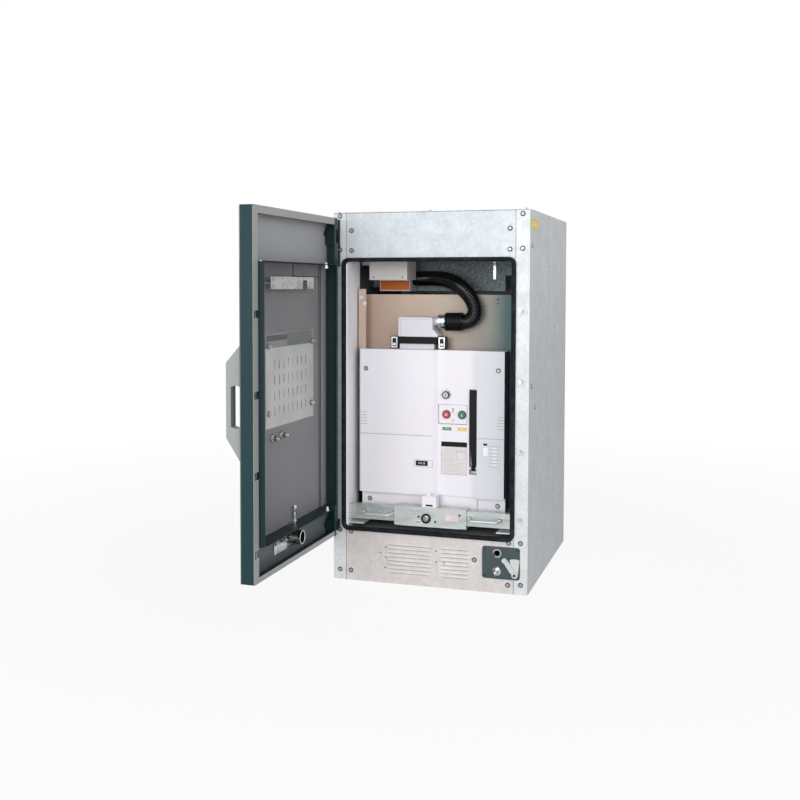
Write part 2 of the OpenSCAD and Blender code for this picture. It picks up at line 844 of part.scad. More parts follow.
// Standing inner frame with a foot along its hinge side, notched where it crosses the gasket
module door_frame() {
    lip = door_in + frame_lip;
    hinge_notch = [-gasket_x[1] - notch_swing - pin_x, -gasket_x[0] + notch_fit - pin_x];
    free_notch = [gasket_x[0] - notch_fit - pin_x, gasket_x[1] + notch_fit - pin_x];
    color("gray") on_door() difference() {
        slab(frame_u, [skin_in, lip], frame_z);
        slab([frame_u[0] + sheet, frame_u[1] - sheet], [skin_in + sheet, lip + 1],
             [frame_z[0] + sheet, frame_z[1] - sheet]);
        slab([frame_u[0] + foot_w, frame_u[1] - sheet], [skin_in - 1, skin_in + sheet + 1],
             [frame_z[0] + sheet, frame_z[1] - sheet]);
        for (u = [hinge_notch, free_notch])
            slab(u, [door_in + 1, lip + 1], [frame_z[0] - 1, frame_z[1] + 1]);
    }
}

module slotted_screen() {
    color("gainsboro") on_door() difference() {
        slab(window_u, [skin_in, skin_in + 2], [window_z[0], window_z[1] - 40]);
        for (i = [0:7], j = [0:3])
            slab([window_u[0] + 55 + i * 31, window_u[0] + 60 + i * 31], [skin_in - 1, skin_in + 3],
                 [window_z[0] + 30 + j * 42, window_z[0] + 55 + j * 42]);
    }
}

module window_pane() {
    color("lightcyan") on_door() slab(window_u, [skin_in + 2, skin_in + 5], window_z);
}

module document_bracket() {
    color("silver") on_door() difference() {
        union() {
            slab([158, 452], [skin_in + 20, skin_in + 22], [890, 923]);
            for (u = [158, 432]) slab([u, u + 20], [skin_in, skin_in + 20], [905, 907]);
        }
        slab([202, 238], [skin_in + 19, skin_in + 23], [889, 914]);
    }
}

module racking_port() {
    color("silver") on_door() difference() {
        union() {
            slab([port_u - 18, port_u + 112], [skin_in, skin_in + 3], [176, 217]);
            translate([port_u, 0, socket_z]) bar_y(port_r, skin_in, skin_in + port_out);
        }
        translate([port_u, 0, socket_z]) bar_y(port_bore, skin_in - 1, skin_in + port_out + 1);
    }
}

// Turned interlock plunger that stands on the inner frame above the port
module door_interlock() {
    color("silver") on_door() translate([268, skin_in + 8, frame_z[0] + sheet]) {
        rotate_extrude() polygon([[0, 0], [7.5, 0], [7.5, 5], [4, 8], [4, 17], [7, 19], [7, 26],
                                  [4, 28], [4, 36], [6.5, 39], [6.5, 44], [3, 48], [0, 48]]);
        slab([-8, 40], [-8, -6], [0, 3]);
    }
}

module door_hinge_knuckles() {
    color("dimgray") on_door() for (z = hinge_zs) translate([0, 0, z + hinge_h / 2]) difference() {
        union() {
            cylinder(r = knuckle_r, h = hinge_h / 2);
            translate([door_w0 + sheet, skin_in, 0])
                cube([hinge_flange_u - door_w0 - sheet, sheet, hinge_h / 2]);
            translate([door_w0 + sheet, skin_in, 0]) cube([5, -skin_in, hinge_h / 2]);
        }
        translate([0, 0, -1]) cylinder(r = pin_r + pin_fit, h = hinge_h / 2 + 2);
    }
}

bar_u = [keeper_u - 10, keeper_u + 11];
bar_v = [door_in - sheet - 6, door_in - sheet - 3];
stud_zs = [540, 680];
stud_u = keeper_u - 4;
stud_r = 5;

module latch_bar() {
    color("silver") on_door() difference() {
        union() {
            slab(bar_u, bar_v, [190, 870]);
            for (z = stud_zs) translate([stud_u, 0, z]) bar_y(stud_r, door_out - near, bar_v[0]);
        }
        for (z = keeper_zs) {
            translate([keeper_u, 0, z]) bar_y(7.5, bar_v[0] - 1, bar_v[1] + 1);
            slab([keeper_u - 4.5, keeper_u + 4.5], [bar_v[0] - 1, bar_v[1] + 1],
                 [z - latch_travel - 5, z]);
        }
    }
}

handle_u = [keeper_u - 18, keeper_u + 10];
handle_z = [454, 753];
handle_face_z = [508, 714];
handle_out = 42;
grip_thick = 13;
grip_gap_z = [541, 650];

// Outer pull handle: a deep tapered plate with rounded corners and a D-shaped grip opening
module door_handle() {
    base_v = door_out - near;
    face_v = base_v - handle_out;
    color("lightgray") on_door() translate([handle_u[0], 0, 0]) rotate([90, 0, 90])
        linear_extrude(handle_u[1] - handle_u[0]) difference() {
            hull() {
                translate([base_v - 1, handle_z[0]]) square([1, handle_z[1] - handle_z[0]]);
                for (z = [handle_face_z[0] + 12, handle_face_z[1] - 12])
                    translate([face_v + 12, z]) circle(r = 12, $fn = 32);
            }
            hull() {
                translate([face_v + grip_thick, grip_gap_z[0] + 4])
                    square([4, grip_gap_z[1] - grip_gap_z[0] - 8]);
                for (z = [grip_gap_z[0] + 12, grip_gap_z[1] - 12])
                    translate([base_v - 14, z]) circle(r = 12, $fn = 32);
            }
        }
}

left_side_panel();
right_side_panel();
top_front_panel();
base_front_panel();
roof_panel();
base_plate();
compartment_floor();
left_inner_wall();
right_inner_wall();
spout_plate();
spout_bushings();
busbar_terminals();
door_gasket();
wiring_box();
upper_barrier();
hose();
left_guide_rail();
right_guide_rail();
cross_beam();
beam_handles();
position_switch_box();
door_keepers();
hinge_brackets();
earthing_plate();
earthing_lock();
lever_guide();
shutter_lever();
breaker_truck();
truck_wheels();
bulkhead_plate();
mechanism_housing();
front_cover();
side_cover();
button_plate();
key_lock();
operation_counter();
off_button();
on_button();
charging_handle();
plug_housing();
plug_latch();
hose_coupling();
hose_cuff();
pole_units();
contact_arms();
door_pan();
door_frame();
slotted_screen();
window_pane();
document_bracket();
racking_port();
door_interlock();
door_hinge_knuckles();
latch_bar();
door_handle();
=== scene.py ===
"""Looks of a withdrawable vacuum circuit breaker that stands in its open metal-clad compartment.

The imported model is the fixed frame, and every piece made here is in its metres: X to the right,
Y into the compartment, Z up, with the origin at the middle of the base on the floor.
"""

import logging
import math
from dataclasses import dataclass
from enum import Enum
from typing import Iterable, Sequence

import bmesh
import bpy
from mathutils import Matrix, Vector


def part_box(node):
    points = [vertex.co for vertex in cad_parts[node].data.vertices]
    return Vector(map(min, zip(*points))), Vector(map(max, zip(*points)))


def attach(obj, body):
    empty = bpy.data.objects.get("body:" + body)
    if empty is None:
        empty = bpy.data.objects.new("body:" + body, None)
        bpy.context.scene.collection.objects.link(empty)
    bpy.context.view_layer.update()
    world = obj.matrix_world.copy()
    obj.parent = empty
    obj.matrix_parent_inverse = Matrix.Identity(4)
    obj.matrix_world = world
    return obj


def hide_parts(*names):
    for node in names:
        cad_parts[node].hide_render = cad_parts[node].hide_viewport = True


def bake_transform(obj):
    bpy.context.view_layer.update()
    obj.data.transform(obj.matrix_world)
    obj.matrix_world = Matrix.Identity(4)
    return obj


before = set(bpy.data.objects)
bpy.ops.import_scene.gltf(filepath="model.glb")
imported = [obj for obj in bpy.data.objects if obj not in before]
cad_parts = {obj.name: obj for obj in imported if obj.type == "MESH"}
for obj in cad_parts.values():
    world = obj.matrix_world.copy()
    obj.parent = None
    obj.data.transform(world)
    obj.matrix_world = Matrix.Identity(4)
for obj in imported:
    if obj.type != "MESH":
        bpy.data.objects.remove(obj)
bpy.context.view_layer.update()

LOG = logging.getLogger("scene")
Colour = tuple[float, float, float]
Point = tuple[float, float, float]
Place = tuple[float, float]
Socket = bpy.types.NodeSocket

# How far ink, a seam or sign, a sticker or groove, and a thin plate stand out of what they lie on
INK, SEAM, STICKER, PLATE = 0.0001, 0.0002, 0.0003, 0.0004


class Body(str, Enum):
    """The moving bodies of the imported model."""

    CABINET = "cabinet"
    SHUTTER = "shutter"
    BREAKER = "breaker"
    OFF_PUSH = "off_push"
    ON_PUSH = "on_push"
    CHARGING = "charging"
    DOOR = "door"
    LATCH = "latch"


class Axis(Enum):
    """The way in which a round piece points."""

    X = (1.0, 0.0, 0.0)
    Y = (0.0, 1.0, 0.0)
    Z = (0.0, 0.0, 1.0)

    def turn(self) -> Matrix:
        """Returns the rotation that takes +Z to this direction."""
        return Vector(self.value).to_track_quat("Z", "Y").to_matrix().to_4x4()


@dataclass(frozen=True)
class Face:
    """A flat side that small pieces are laid on, with its own right, up and outward ways."""

    origin: Point
    right: Point
    up: Point
    out: Point

    @classmethod
    def front(cls, y: float) -> "Face":
        """Returns the plane at a depth, seen from the front, measured in X and Z."""
        return cls((0.0, y, 0.0), (1.0, 0.0, 0.0), (0.0, 0.0, 1.0), (0.0, -1.0, 0.0))

    @classmethod
    def rear(cls, y: float) -> "Face":
        """Returns the plane at a depth, seen from behind, measured in -X and Z."""
        return cls((0.0, y, 0.0), (-1.0, 0.0, 0.0), (0.0, 0.0, 1.0), (0.0, 1.0, 0.0))

    @classmethod
    def right_side(cls, x: float) -> "Face":
        """Returns the plane at an X, seen from the right, measured in Y and Z."""
        return cls((x, 0.0, 0.0), (0.0, 1.0, 0.0), (0.0, 0.0, 1.0), (1.0, 0.0, 0.0))

    @classmethod
    def left_side(cls, x: float) -> "Face":
        """Returns the plane at an X, seen from the left, measured in -Y and Z."""
        return cls((x, 0.0, 0.0), (0.0, -1.0, 0.0), (0.0, 0.0, 1.0), (-1.0, 0.0, 0.0))

    @classmethod
    def top(cls, z: float) -> "Face":
        """Returns the plane at a height, seen from above, measured in X and Y."""
        return cls((0.0, 0.0, z), (1.0, 0.0, 0.0), (0.0, 1.0, 0.0), (0.0, 0.0, 1.0))

    def between(self, across: Place, along: Place) -> Matrix:
        """Returns the middle of a rectangle on the face, from its limits to the right and up."""
        return self.at((across[0] + across[1]) / 2, (along[0] + along[1]) / 2)

    def at(self, across: float, along: float, lift: float = 0.0) -> Matrix:
        """Gives the place of a point on the face, turned so that +Z stands out of it.

        Args:
            across: how far to the right.
            along: how far up.
            lift: how far out of the face.

        Returns:
            The place.
        """
        right, up, out = Vector(self.right), Vector(self.up), Vector(self.out)
        point = Vector(self.origin) + right * across + up * along + out * lift
        return Matrix.Translation(point) @ Matrix((right, up, out)).transposed().to_4x4()


# ---------------------------------------------------------------- finishes


class Shade:
    """Adds and joins the shader nodes of one material."""

    def __init__(self, name: str) -> None:
        """Starts an opaque material with only its main shader.

        Args:
            name: the material's name.
        """
        self.material = bpy.data.materials.new(name)
        self.material.use_nodes = True
        self.tree = self.material.node_tree
        self.shader = self.tree.nodes["Principled BSDF"]

    def node(self, kind: str, **settings: object) -> bpy.types.Node:
        """Adds a node and sets its properties.

        Args:
            kind: the node's type name without its ShaderNode prefix.
            settings: properties of the node.

        Returns:
            The new node.
        """
        made = self.tree.nodes.new("ShaderNode" + kind)
        for key, value in settings.items():
            setattr(made, key, value)
        return made

    def join(self, start: Socket, end: Socket) -> None:
        """Links two sockets."""
        self.tree.links.new(start, end)

    def set(self, **values: object) -> None:
        """Sets inputs of the main shader, with underscores for the spaces in their names."""
        for key, value in values.items():
            self.shader.inputs[key.replace("_", " ").title().replace("Ior", "IOR")].default_value = value

    def place(self, scale: Point = (1.0, 1.0, 1.0)) -> Socket:
        """Gives the object coordinates, scaled.

        Args:
            scale: the factor along each axis.

        Returns:
            The vector output.
        """
        source = self.node("TexCoord").outputs["Object"]
        if scale == (1.0, 1.0, 1.0):
            return source
        mapping = self.node("Mapping")
        mapping.inputs["Scale"].default_value = scale
        self.join(source, mapping.inputs["Vector"])
        return mapping.outputs["Vector"]

    def along(self, axis: Axis) -> Socket:
        """Reads the object coordinate along one axis, in metres.

        Args:
            axis: the axis.

        Returns:
            The coordinate.
        """
        split = self.node("SeparateXYZ")
        self.join(self.place(), split.inputs[0])
        return split.outputs[axis.name]

    def noise(self, size: float, detail: float = 3.0, stretch: Point = (1.0, 1.0, 1.0)) -> Socket:
        """Adds a cloudy noise.

        Args:
            size: about how wide one cloud is, in metres.
            detail: how many finer layers it holds.
            stretch: the factor along each axis, below 1 for long clouds.

        Returns:
            The noise's value.
        """
        made = self.node("TexNoise")
        made.inputs["Scale"].default_value = 1.0 / size
        made.inputs["Detail"].default_value = detail
        self.join(self.place(stretch), made.inputs["Vector"])
        return made.outputs["Fac"]

    def ramp(self, value: Socket, stops: Sequence[tuple[float, Sequence[float]]],
             sharp: bool = False) -> Socket:
        """Turns a value into a colour.

        Args:
            value: what drives the ramp.
            stops: places from 0 to 1, each with its colour.
            sharp: steps from colour to colour without a blend.

        Returns:
            The colour.
        """
        made = self.node("ValToRGB")
        made.color_ramp.interpolation = "CONSTANT" if sharp else "LINEAR"
        held = made.color_ramp.elements
        while len(held) < len(stops):
            held.new(0.5)
        for element, (place, colour) in zip(held, stops):
            element.position = place
            element.color = (*colour, 1.0)
        self.join(value, made.inputs["Fac"])
        return made.outputs["Color"]

    def span(self, value: Socket, low: float, high: float, to_low: float = 0.0,
             to_high: float = 1.0) -> Socket:
        """Maps a value's range onto another, clamped.

        Args:
            value: what is mapped.
            low: the start of its range.
            high: the end of its range.
            to_low: what the start becomes.
            to_high: what the end becomes.

        Returns:
            The mapped value.
        """
        made = self.node("MapRange")
        for key, number in (("From Min", low), ("From Max", high), ("To Min", to_low), ("To Max", to_high)):
            made.inputs[key].default_value = number
        self.join(value, made.inputs["Value"])
        return made.outputs["Result"]

    def mix(self, factor: Socket | float, first: object, second: object,
            blend: str = "MIX") -> Socket:
        """Mixes two colours.

        Args:
            factor: how much of the second shows, as a number or a socket.
            first: a colour or a socket.
            second: a colour or a socket.
            blend: the way they mix.

        Returns:
            The mixed colour.
        """
        made = self.node("Mix", data_type="RGBA", blend_type=blend)
        if isinstance(factor, float):
            made.inputs["Factor"].default_value = factor
        else:
            self.join(factor, made.inputs["Factor"])
        for socket, given in ((made.inputs["A"], first), (made.inputs["B"], second)):
            sockets = [s for s in made.inputs if s.name == socket.name and s.type == "RGBA"]
            if isinstance(given, Socket):
                self.join(given, sockets[0])
            else:
                sockets[0].default_value = (*given, 1.0)
        return next(s for s in made.outputs if s.type == "RGBA")

    def drift(self, size: float, detail: float, low: Colour, high: Colour) -> Socket:
        """Adds a slow cloudy change between two colours.

        Args:
            size: about how wide one cloud is, in metres.
            detail: how many finer layers it holds.
            low: the colour of the thin clouds.
            high: the colour of the full ones.

        Returns:
            The colour.
        """
        return self.ramp(self.noise(size, detail), [(0.3, low), (0.7, high)])

    def maths(self, operation: str, first: Socket, second: Socket | float) -> Socket:
        """Works out one value from two.

        Args:
            operation: what is done with them, such as MULTIPLY.
            first: the first value.
            second: the second value, as a number or a socket.

        Returns:
            The result.
        """
        made = self.node("Math", operation=operation)
        self.join(first, made.inputs[0])
        if isinstance(second, float):
            made.inputs[1].default_value = second
        else:
            self.join(second, made.inputs[1])
        return made.outputs[0]

    def paint(self, tone: Socket) -> None:
        """Gives the surface its colour."""
        self.join(tone, self.shader.inputs["Base Color"])

    def gloss(self, value: Socket) -> None:
        """Gives the surface its roughness."""
        self.join(value, self.shader.inputs["Roughness"])

    def grain(self, size: float, depth: float, strength: float = 0.3, detail: float = 1.0) -> None:
        """Raises the surface in fine grains.

        Args:
            size: about how wide one grain is, in metres.
            depth: how far it stands out, in metres.
            strength: how plainly it shows.
            detail: how many finer layers it holds.
        """
        self.bump(self.noise(size, detail), depth, strength)

    def bump(self, height: Socket, depth: float, strength: float) -> None:
        """Raises the surface a little.

        Args:
            height: the value that raises it.
            depth: how far, in metres.
            strength: how plainly it shows.
        """
        made = self.node("Bump")
        made.inputs["Distance"].default_value = depth
        made.inputs["Strength"].default_value = strength
        self.join(height, made.inputs["Height"])
        self.join(made.outputs["Normal"], self.shader.inputs["Normal"])


def moved(across: float, along: float, lift: float = 0.0) -> Matrix:
    """Returns a step over a face, to its right, up it and out of it."""
    return Matrix.Translation((across, along, lift))


def lifted(height: float) -> Matrix:
    """Returns a step straight out of a face."""
    return moved(0.0, 0.0, height)


def tinted(colour: Colour, factor: float) -> Colour:
    """Returns a colour made lighter or darker by a factor."""
    return tuple(min(1.0, part * factor) for part in colour)


@dataclass(frozen=True)
class Finish:
    """What one surface is made of. Each kind of finish dresses its own shader."""

    name: str
    colour: Colour
    roughness: float = 0.5
    metallic: float = 0.0
    shine: float = 0.5

    def build(self) -> bpy.types.Material:
        """Makes the Blender material of this finish, once.

        Returns:
            The material.
        """
        name = self.name + "_finish"
        known = bpy.data.materials.get(name)
        if known is not None:
            return known
        shade = Shade(name)
        shade.set(base_color=(*self.colour, 1.0), roughness=self.roughness, metallic=self.metallic,
                  specular_ior_level=self.shine)
        self.dress(shade)
        return shade.material

    def dress(self, shade: Shade) -> None:
        """Adds what this kind of finish shows; a plain one shows a faint unevenness."""
        shade.paint(shade.drift(0.12, 3.0, tinted(self.colour, 0.95), tinted(self.colour, 1.04)))


@dataclass(frozen=True)
class Galvanised(Finish):
    """Zinc-coated sheet with a mottled crystal pattern and faint hand marks."""

    spangle: float = 0.012
    contrast: float = 0.05
    roughness: float = 0.5
    metallic: float = 0.15

    def dress(self, shade: Shade) -> None:
        """Lays crystals, clouds and fine specks over the zinc.

        Args:
            shade: the nodes of the material.
        """
        cells = shade.node("TexVoronoi", feature="F1")
        cells.inputs["Scale"].default_value = 1.0 / self.spangle
        shade.join(shade.place(), cells.inputs["Vector"])
        flakes = shade.span(cells.outputs["Color"], 0.0, 1.0)
        low, high = tinted(self.colour, 1.0 - self.contrast), tinted(self.colour, 1.0 + self.contrast)
        crystal = shade.ramp(flakes, [(0.15, low), (0.85, high)])
        clouds = shade.ramp(shade.noise(0.09, 4.0), [(0.35, (0.93, 0.93, 0.93)), (0.65, (1.0, 1.0, 1.0))])
        mottled = shade.mix(1.0, crystal, clouds, "MULTIPLY")
        specks = shade.span(shade.noise(0.004, 1.0), 0.66, 0.74)
        tone = shade.mix(specks, mottled, tinted(self.colour, 0.72))
        shade.paint(tone)
        sheen = shade.span(shade.noise(0.05, 3.0), 0.3, 0.7, self.roughness - 0.08, self.roughness + 0.1)
        shade.gloss(sheen)
        shade.bump(flakes, 0.00012, 0.25)


@dataclass(frozen=True)
class Speckled(Galvanised):
    """Dark galvanised sheet in shade, with fine pale grains."""

    grain: float = 0.0035

    def dress(self, shade: Shade) -> None:
        """Scatters the grains over a slow change of tone.

        Args:
            shade: the nodes of the material.
        """
        slow = shade.drift(0.1, 3.0, tinted(self.colour, 0.75), tinted(self.colour, 1.3))
        grains = shade.span(shade.noise(self.grain, 2.0), 0.53, 0.68, 0.0, 0.8)
        shade.paint(shade.mix(grains, slow, tinted(self.colour, 3.4)))
        shade.grain(self.grain, 0.0001)


@dataclass(frozen=True)
class PowderCoat(Finish):
    """Stoved paint with a fine orange peel."""

    peel: float = 0.0018
    unevenness: float = 0.05
    roughness: float = 0.45

    def dress(self, shade: Shade) -> None:
        """Lays the peel and a slow change of tone.

        Args:
            shade: the nodes of the material.
        """
        low, high = tinted(self.colour, 1.0 - self.unevenness), tinted(self.colour, 1.0 + self.unevenness)
        shade.paint(shade.drift(0.2, 2.0, low, high))
        shade.grain(self.peel, 0.0001, 0.35)


@dataclass(frozen=True)
class WallPaint(PowderCoat):
    """White paint at the compartment's mouth, and painted shade on the rest of the wall behind it."""

    mouth_y: float = -0.238
    blend: float = 0.004
    # deep: the painted shade of the wall behind the mouth
    deep: Colour = (0.05, 0.06, 0.062)

    def dress(self, shade: Shade) -> None:
        """Lays the white paint, the painted shade behind the mouth and the peel.

        Args:
            shade: the nodes of the material.
        """
        inner = shade.span(shade.along(Axis.Y), self.mouth_y, self.mouth_y + self.blend)
        slow = shade.drift(0.15, 2.0, tinted(self.colour, 0.94), self.colour)
        # behind mouth_y the wall takes the deep colour as painted shade
        shade.paint(shade.mix(inner, slow, self.deep))
        shade.grain(self.peel, 0.0001, 0.35)


@dataclass(frozen=True)
class DoorPaint(Finish):
    """Dark paint on the door's outside and edges, and grey on the faces that look into the compartment, with
    painted light on the skin above the inner frame and painted shade below it and on the hinge-side flange.
    """

    inside: Colour = (0.235, 0.235, 0.243)
    flange: Colour = (0.4, 0.4, 0.39)
    skin_x: float = -0.3069
    flange_x: float = -0.2726
    bars: tuple[float, float] = (0.239, 0.961)
    # from hinge_y the flange takes painted shade, and from rim_y a painted highlight line runs along its edge
    hinge_y: float = -0.4165
    rim_y: float = -0.3897
    # below: the painted shade of the skin under the inner frame
    below: Colour = (0.15, 0.17, 0.178)
    peel: float = 0.0018
    roughness: float = 0.4

    def dress(self, shade: Shade) -> None:
        """Picks the coat by depth in the door, paints light and shade on its inner faces, and lays the peel.

        Args:
            shade: the nodes of the material.
        """
        depth = shade.along(Axis.X)
        on_flange = shade.span(depth, self.flange_x - 0.0002, self.flange_x)
        off_skin = shade.span(depth, self.skin_x, self.skin_x + 0.0003)
        behind = shade.span(depth, self.skin_x - 0.0012, self.skin_x - 0.0008)
        slow = shade.noise(0.25, 3.0)
        coat = shade.ramp(slow, [(0.3, tinted(self.colour, 0.94)), (0.7, tinted(self.colour, 1.06))])
        grey = shade.ramp(slow, [(0.3, tinted(self.inside, 0.93)), (0.7, tinted(self.inside, 1.07))])
        # painted light on the skin above the frame's top bar, and painted shade below its bottom bar
        high = shade.span(shade.along(Axis.Z), self.bars[1], self.bars[1] + 0.001)
        low = shade.span(shade.along(Axis.Z), self.bars[0], self.bars[0] - 0.001)
        grey = shade.mix(low, shade.mix(high, grey, tinted(self.inside, 1.8)), self.below)
        inner = shade.mix(off_skin, grey, coat)
        # painted shade: the flange on the hinge side takes the dark coat, and a painted highlight line runs
        # along its edge
        hinge = shade.span(shade.along(Axis.Y), self.hinge_y, self.hinge_y + 0.0003)
        rim = shade.span(shade.along(Axis.Y), self.rim_y, self.rim_y + 0.0003)
        face = shade.mix(rim, shade.mix(hinge, self.flange, coat), tinted(self.flange, 0.6))
        faced = shade.mix(on_flange, inner, face)
        shade.paint(shade.mix(behind, coat, faced))
        shade.grain(self.peel, 0.0001)


@dataclass(frozen=True)
class SlottedSheet(PowderCoat):
    """Pale painted sheet whose rows of fine slots are drawn as faint green-grey dashes of painted shade."""

    first: Place = (-0.566, 0.551)
    pitch: Place = (0.031, 0.042)
    dash: Place = (0.0065, 0.025)
    columns: tuple[float, float] = (-0.79, -0.556)
    rows: tuple[float, float] = (0.546, 0.718)
    # dark: the painted shade seen in the slots
    dark: Colour = (0.11, 0.17, 0.145)

    def dress(self, shade: Shade) -> None:
        """Lays the dashes of painted shade in rows and columns over the paint.

        Args:
            shade: the nodes of the material.
        """
        soft, edge = 0.0006, 0.0004
        held = shade.span(shade.noise(0.03, 2.0), 0.35, 0.65, 0.35, 1.0)
        sides = zip((Axis.Y, Axis.Z), self.first, self.pitch, self.dash, (self.columns, self.rows))
        for axis, first, pitch, dash, (start, end) in sides:
            value = shade.along(axis)
            shifted = shade.maths("SUBTRACT", value, first + dash / 2 - 40 * pitch)
            phase = shade.maths("PINGPONG", shifted, pitch / 2)
            for factor in (shade.span(phase, dash / 2 + soft, dash / 2 - soft),
                           shade.span(value, start, start + edge), shade.span(value, end, end - edge)):
                held = shade.maths("MULTIPLY", held, factor)
        slow = shade.drift(0.1, 4.0, tinted(self.colour, 0.9), tinted(self.colour, 1.08))
        shade.paint(shade.mix(held, slow, self.dark))
        shade.grain(self.peel, 0.0001)


@dataclass(frozen=True)
class Moulded(Finish):
    """Thermoplastic moulding with a fine spark-eroded grain."""

    grain: float = 0.0012
    roughness: float = 0.42
    shaded_side_x: float | None = None
    side: Colour = (0.03, 0.06, 0.065)

    def dress(self, shade: Shade) -> None:
        """Lays the grain and a faint warm and cool drift, and paints shade on the side past an X if there is
        one.

        Args:
            shade: the nodes of the material.
        """
        warm = (self.colour[0] * 1.01, self.colour[1] * 0.985, self.colour[2] * 0.97)
        tone = shade.drift(0.35, 2.0, warm, self.colour)
        # past that X the side face takes the dark side colour as painted shade
        if self.shaded_side_x is not None:
            past = shade.span(shade.along(Axis.X), self.shaded_side_x - 0.0003, self.shaded_side_x)
            tone = shade.mix(past, tone, self.side)
        shade.paint(tone)
        shade.grain(self.grain, 0.00006)


@dataclass(frozen=True)
class Plated(Finish):
    """Bright zinc or silver plating with faint blue and straw colours, rub marks and, where asked, painted
    reflection bands.
    """

    straw: Colour = (0.56, 0.58, 0.56)
    painted_reflection: float = 0.0
    band: float = 0.03
    rub: float = 0.3
    metallic: float = 0.75
    roughness: float = 0.3

    def dress(self, shade: Shade) -> None:
        """Lays the tints, the bright and dark bands of a painted reflection, and the rub marks.

        Args:
            shade: the nodes of the material.
        """
        drift = shade.span(shade.noise(0.16, 2.0), 0.3, 0.8)
        tone = shade.mix(drift, self.colour, self.straw)
        # painted reflection: bands of dark and white stand in for the surroundings that bright plating reflects
        if self.painted_reflection:
            white = (1.0, 1.0, 1.0)
            bands = shade.ramp(shade.noise(self.band, 2.0, (1.0, 1.0, 0.5)), [
                (0.4, (0.16, 0.17, 0.17)), (0.46, white), (0.62, white), (0.68, (0.4, 0.42, 0.42))])
            tone = shade.mix(self.painted_reflection, tone, bands, "MULTIPLY")
        shade.paint(tone)
        marks = shade.noise(0.02, 5.0, (0.15, 1.0, 1.0))
        sheen = shade.span(marks, 0.3, 0.7, self.roughness - self.rub * 0.3, self.roughness + self.rub * 0.4)
        shade.gloss(sheen)
        shade.grain(0.003, 0.00005, detail=2.0)


@dataclass(frozen=True)
class Passivated(Finish):
    """Passivated tan zinc sheet that darkens towards its right edge with painted shade, and has a painted shadow
    in its low left corner.
    """

    middle: Colour = (0.44, 0.35, 0.285)
    # far and edge: painted shade towards the right edge
    far: Colour = (0.2, 0.2, 0.175)
    edge: Colour = (0.035, 0.085, 0.08)
    # gap: the X and Z that bound the painted shadow in the low left corner
    gap: Place = (-0.2262, 0.703)
    from_x: float = -0.25
    to_x: float = 0.24
    metallic: float = 0.3
    roughness: float = 0.45

    def dress(self, shade: Shade) -> None:
        """Runs the tan and the painted shade over the plate, with clouds, and lays the painted shadow in the low
        left corner.

        Args:
            shade: the nodes of the material.
        """
        across = shade.span(shade.along(Axis.X), self.from_x, self.to_x)
        base = shade.ramp(across, [(0.0, self.colour), (0.45, self.middle), (0.82, self.far),
                                   (0.92, self.edge), (1.0, tinted(self.edge, 0.6))])
        clouds = shade.ramp(shade.noise(0.06, 4.0), [(0.35, (0.9, 0.9, 0.9)), (0.75, (1.0, 0.99, 0.98))])
        cloudy = shade.mix(1.0, base, clouds, "MULTIPLY")
        # painted shadow: left of the gap's X and under its Z the plate is near black
        left, under = (shade.span(shade.along(axis), limit + 0.0004, limit)
                       for axis, limit in zip((Axis.X, Axis.Z), self.gap))
        shade.paint(shade.mix(shade.maths("MULTIPLY", left, under), cloudy, tinted(self.edge, 0.1)))
        shade.grain(0.004, 0.00005, detail=2.0)


@dataclass(frozen=True)
class Rubber(Finish):
    """Matt rubber with a dusty bloom."""

    bloom: Colour = (0.025, 0.029, 0.034)
    roughness: float = 0.7

    def dress(self, shade: Shade) -> None:
        """Lays the bloom and a fine tooth.

        Args:
            shade: the nodes of the material.
        """
        dusty = shade.span(shade.noise(0.03, 4.0), 0.45, 0.8)
        shade.paint(shade.mix(dusty, self.colour, self.bloom))
        shade.grain(0.0015, 0.0001, 0.4)


@dataclass(frozen=True)
class Resin(Finish):
    """Cast epoxy with a satin skin and faint flow marks."""

    roughness: float = 0.33

    def dress(self, shade: Shade) -> None:
        """Lays long flow marks.

        Args:
            shade: the nodes of the material.
        """
        flow = shade.noise(0.04, 4.0, (1.0, 1.0, 0.25))
        tone = shade.ramp(flow, [(0.3, tinted(self.colour, 0.85)), (0.7, tinted(self.colour, 1.12))])
        shade.paint(tone)
        shade.set(coat_weight=0.25)


@dataclass(frozen=True)
class Clear(Finish):
    """Clear plastic sheet, a little hazy."""

    roughness: float = 0.12
    veil: float = 0.16

    def dress(self, shade: Shade) -> None:
        """Lets light through and adds a slight haze.

        Args:
            shade: the nodes of the material.
        """
        shade.set(alpha=self.veil)
        haze = shade.span(shade.noise(0.05, 3.0), 0.3, 0.8, 0.06, 0.2)
        shade.gloss(haze)


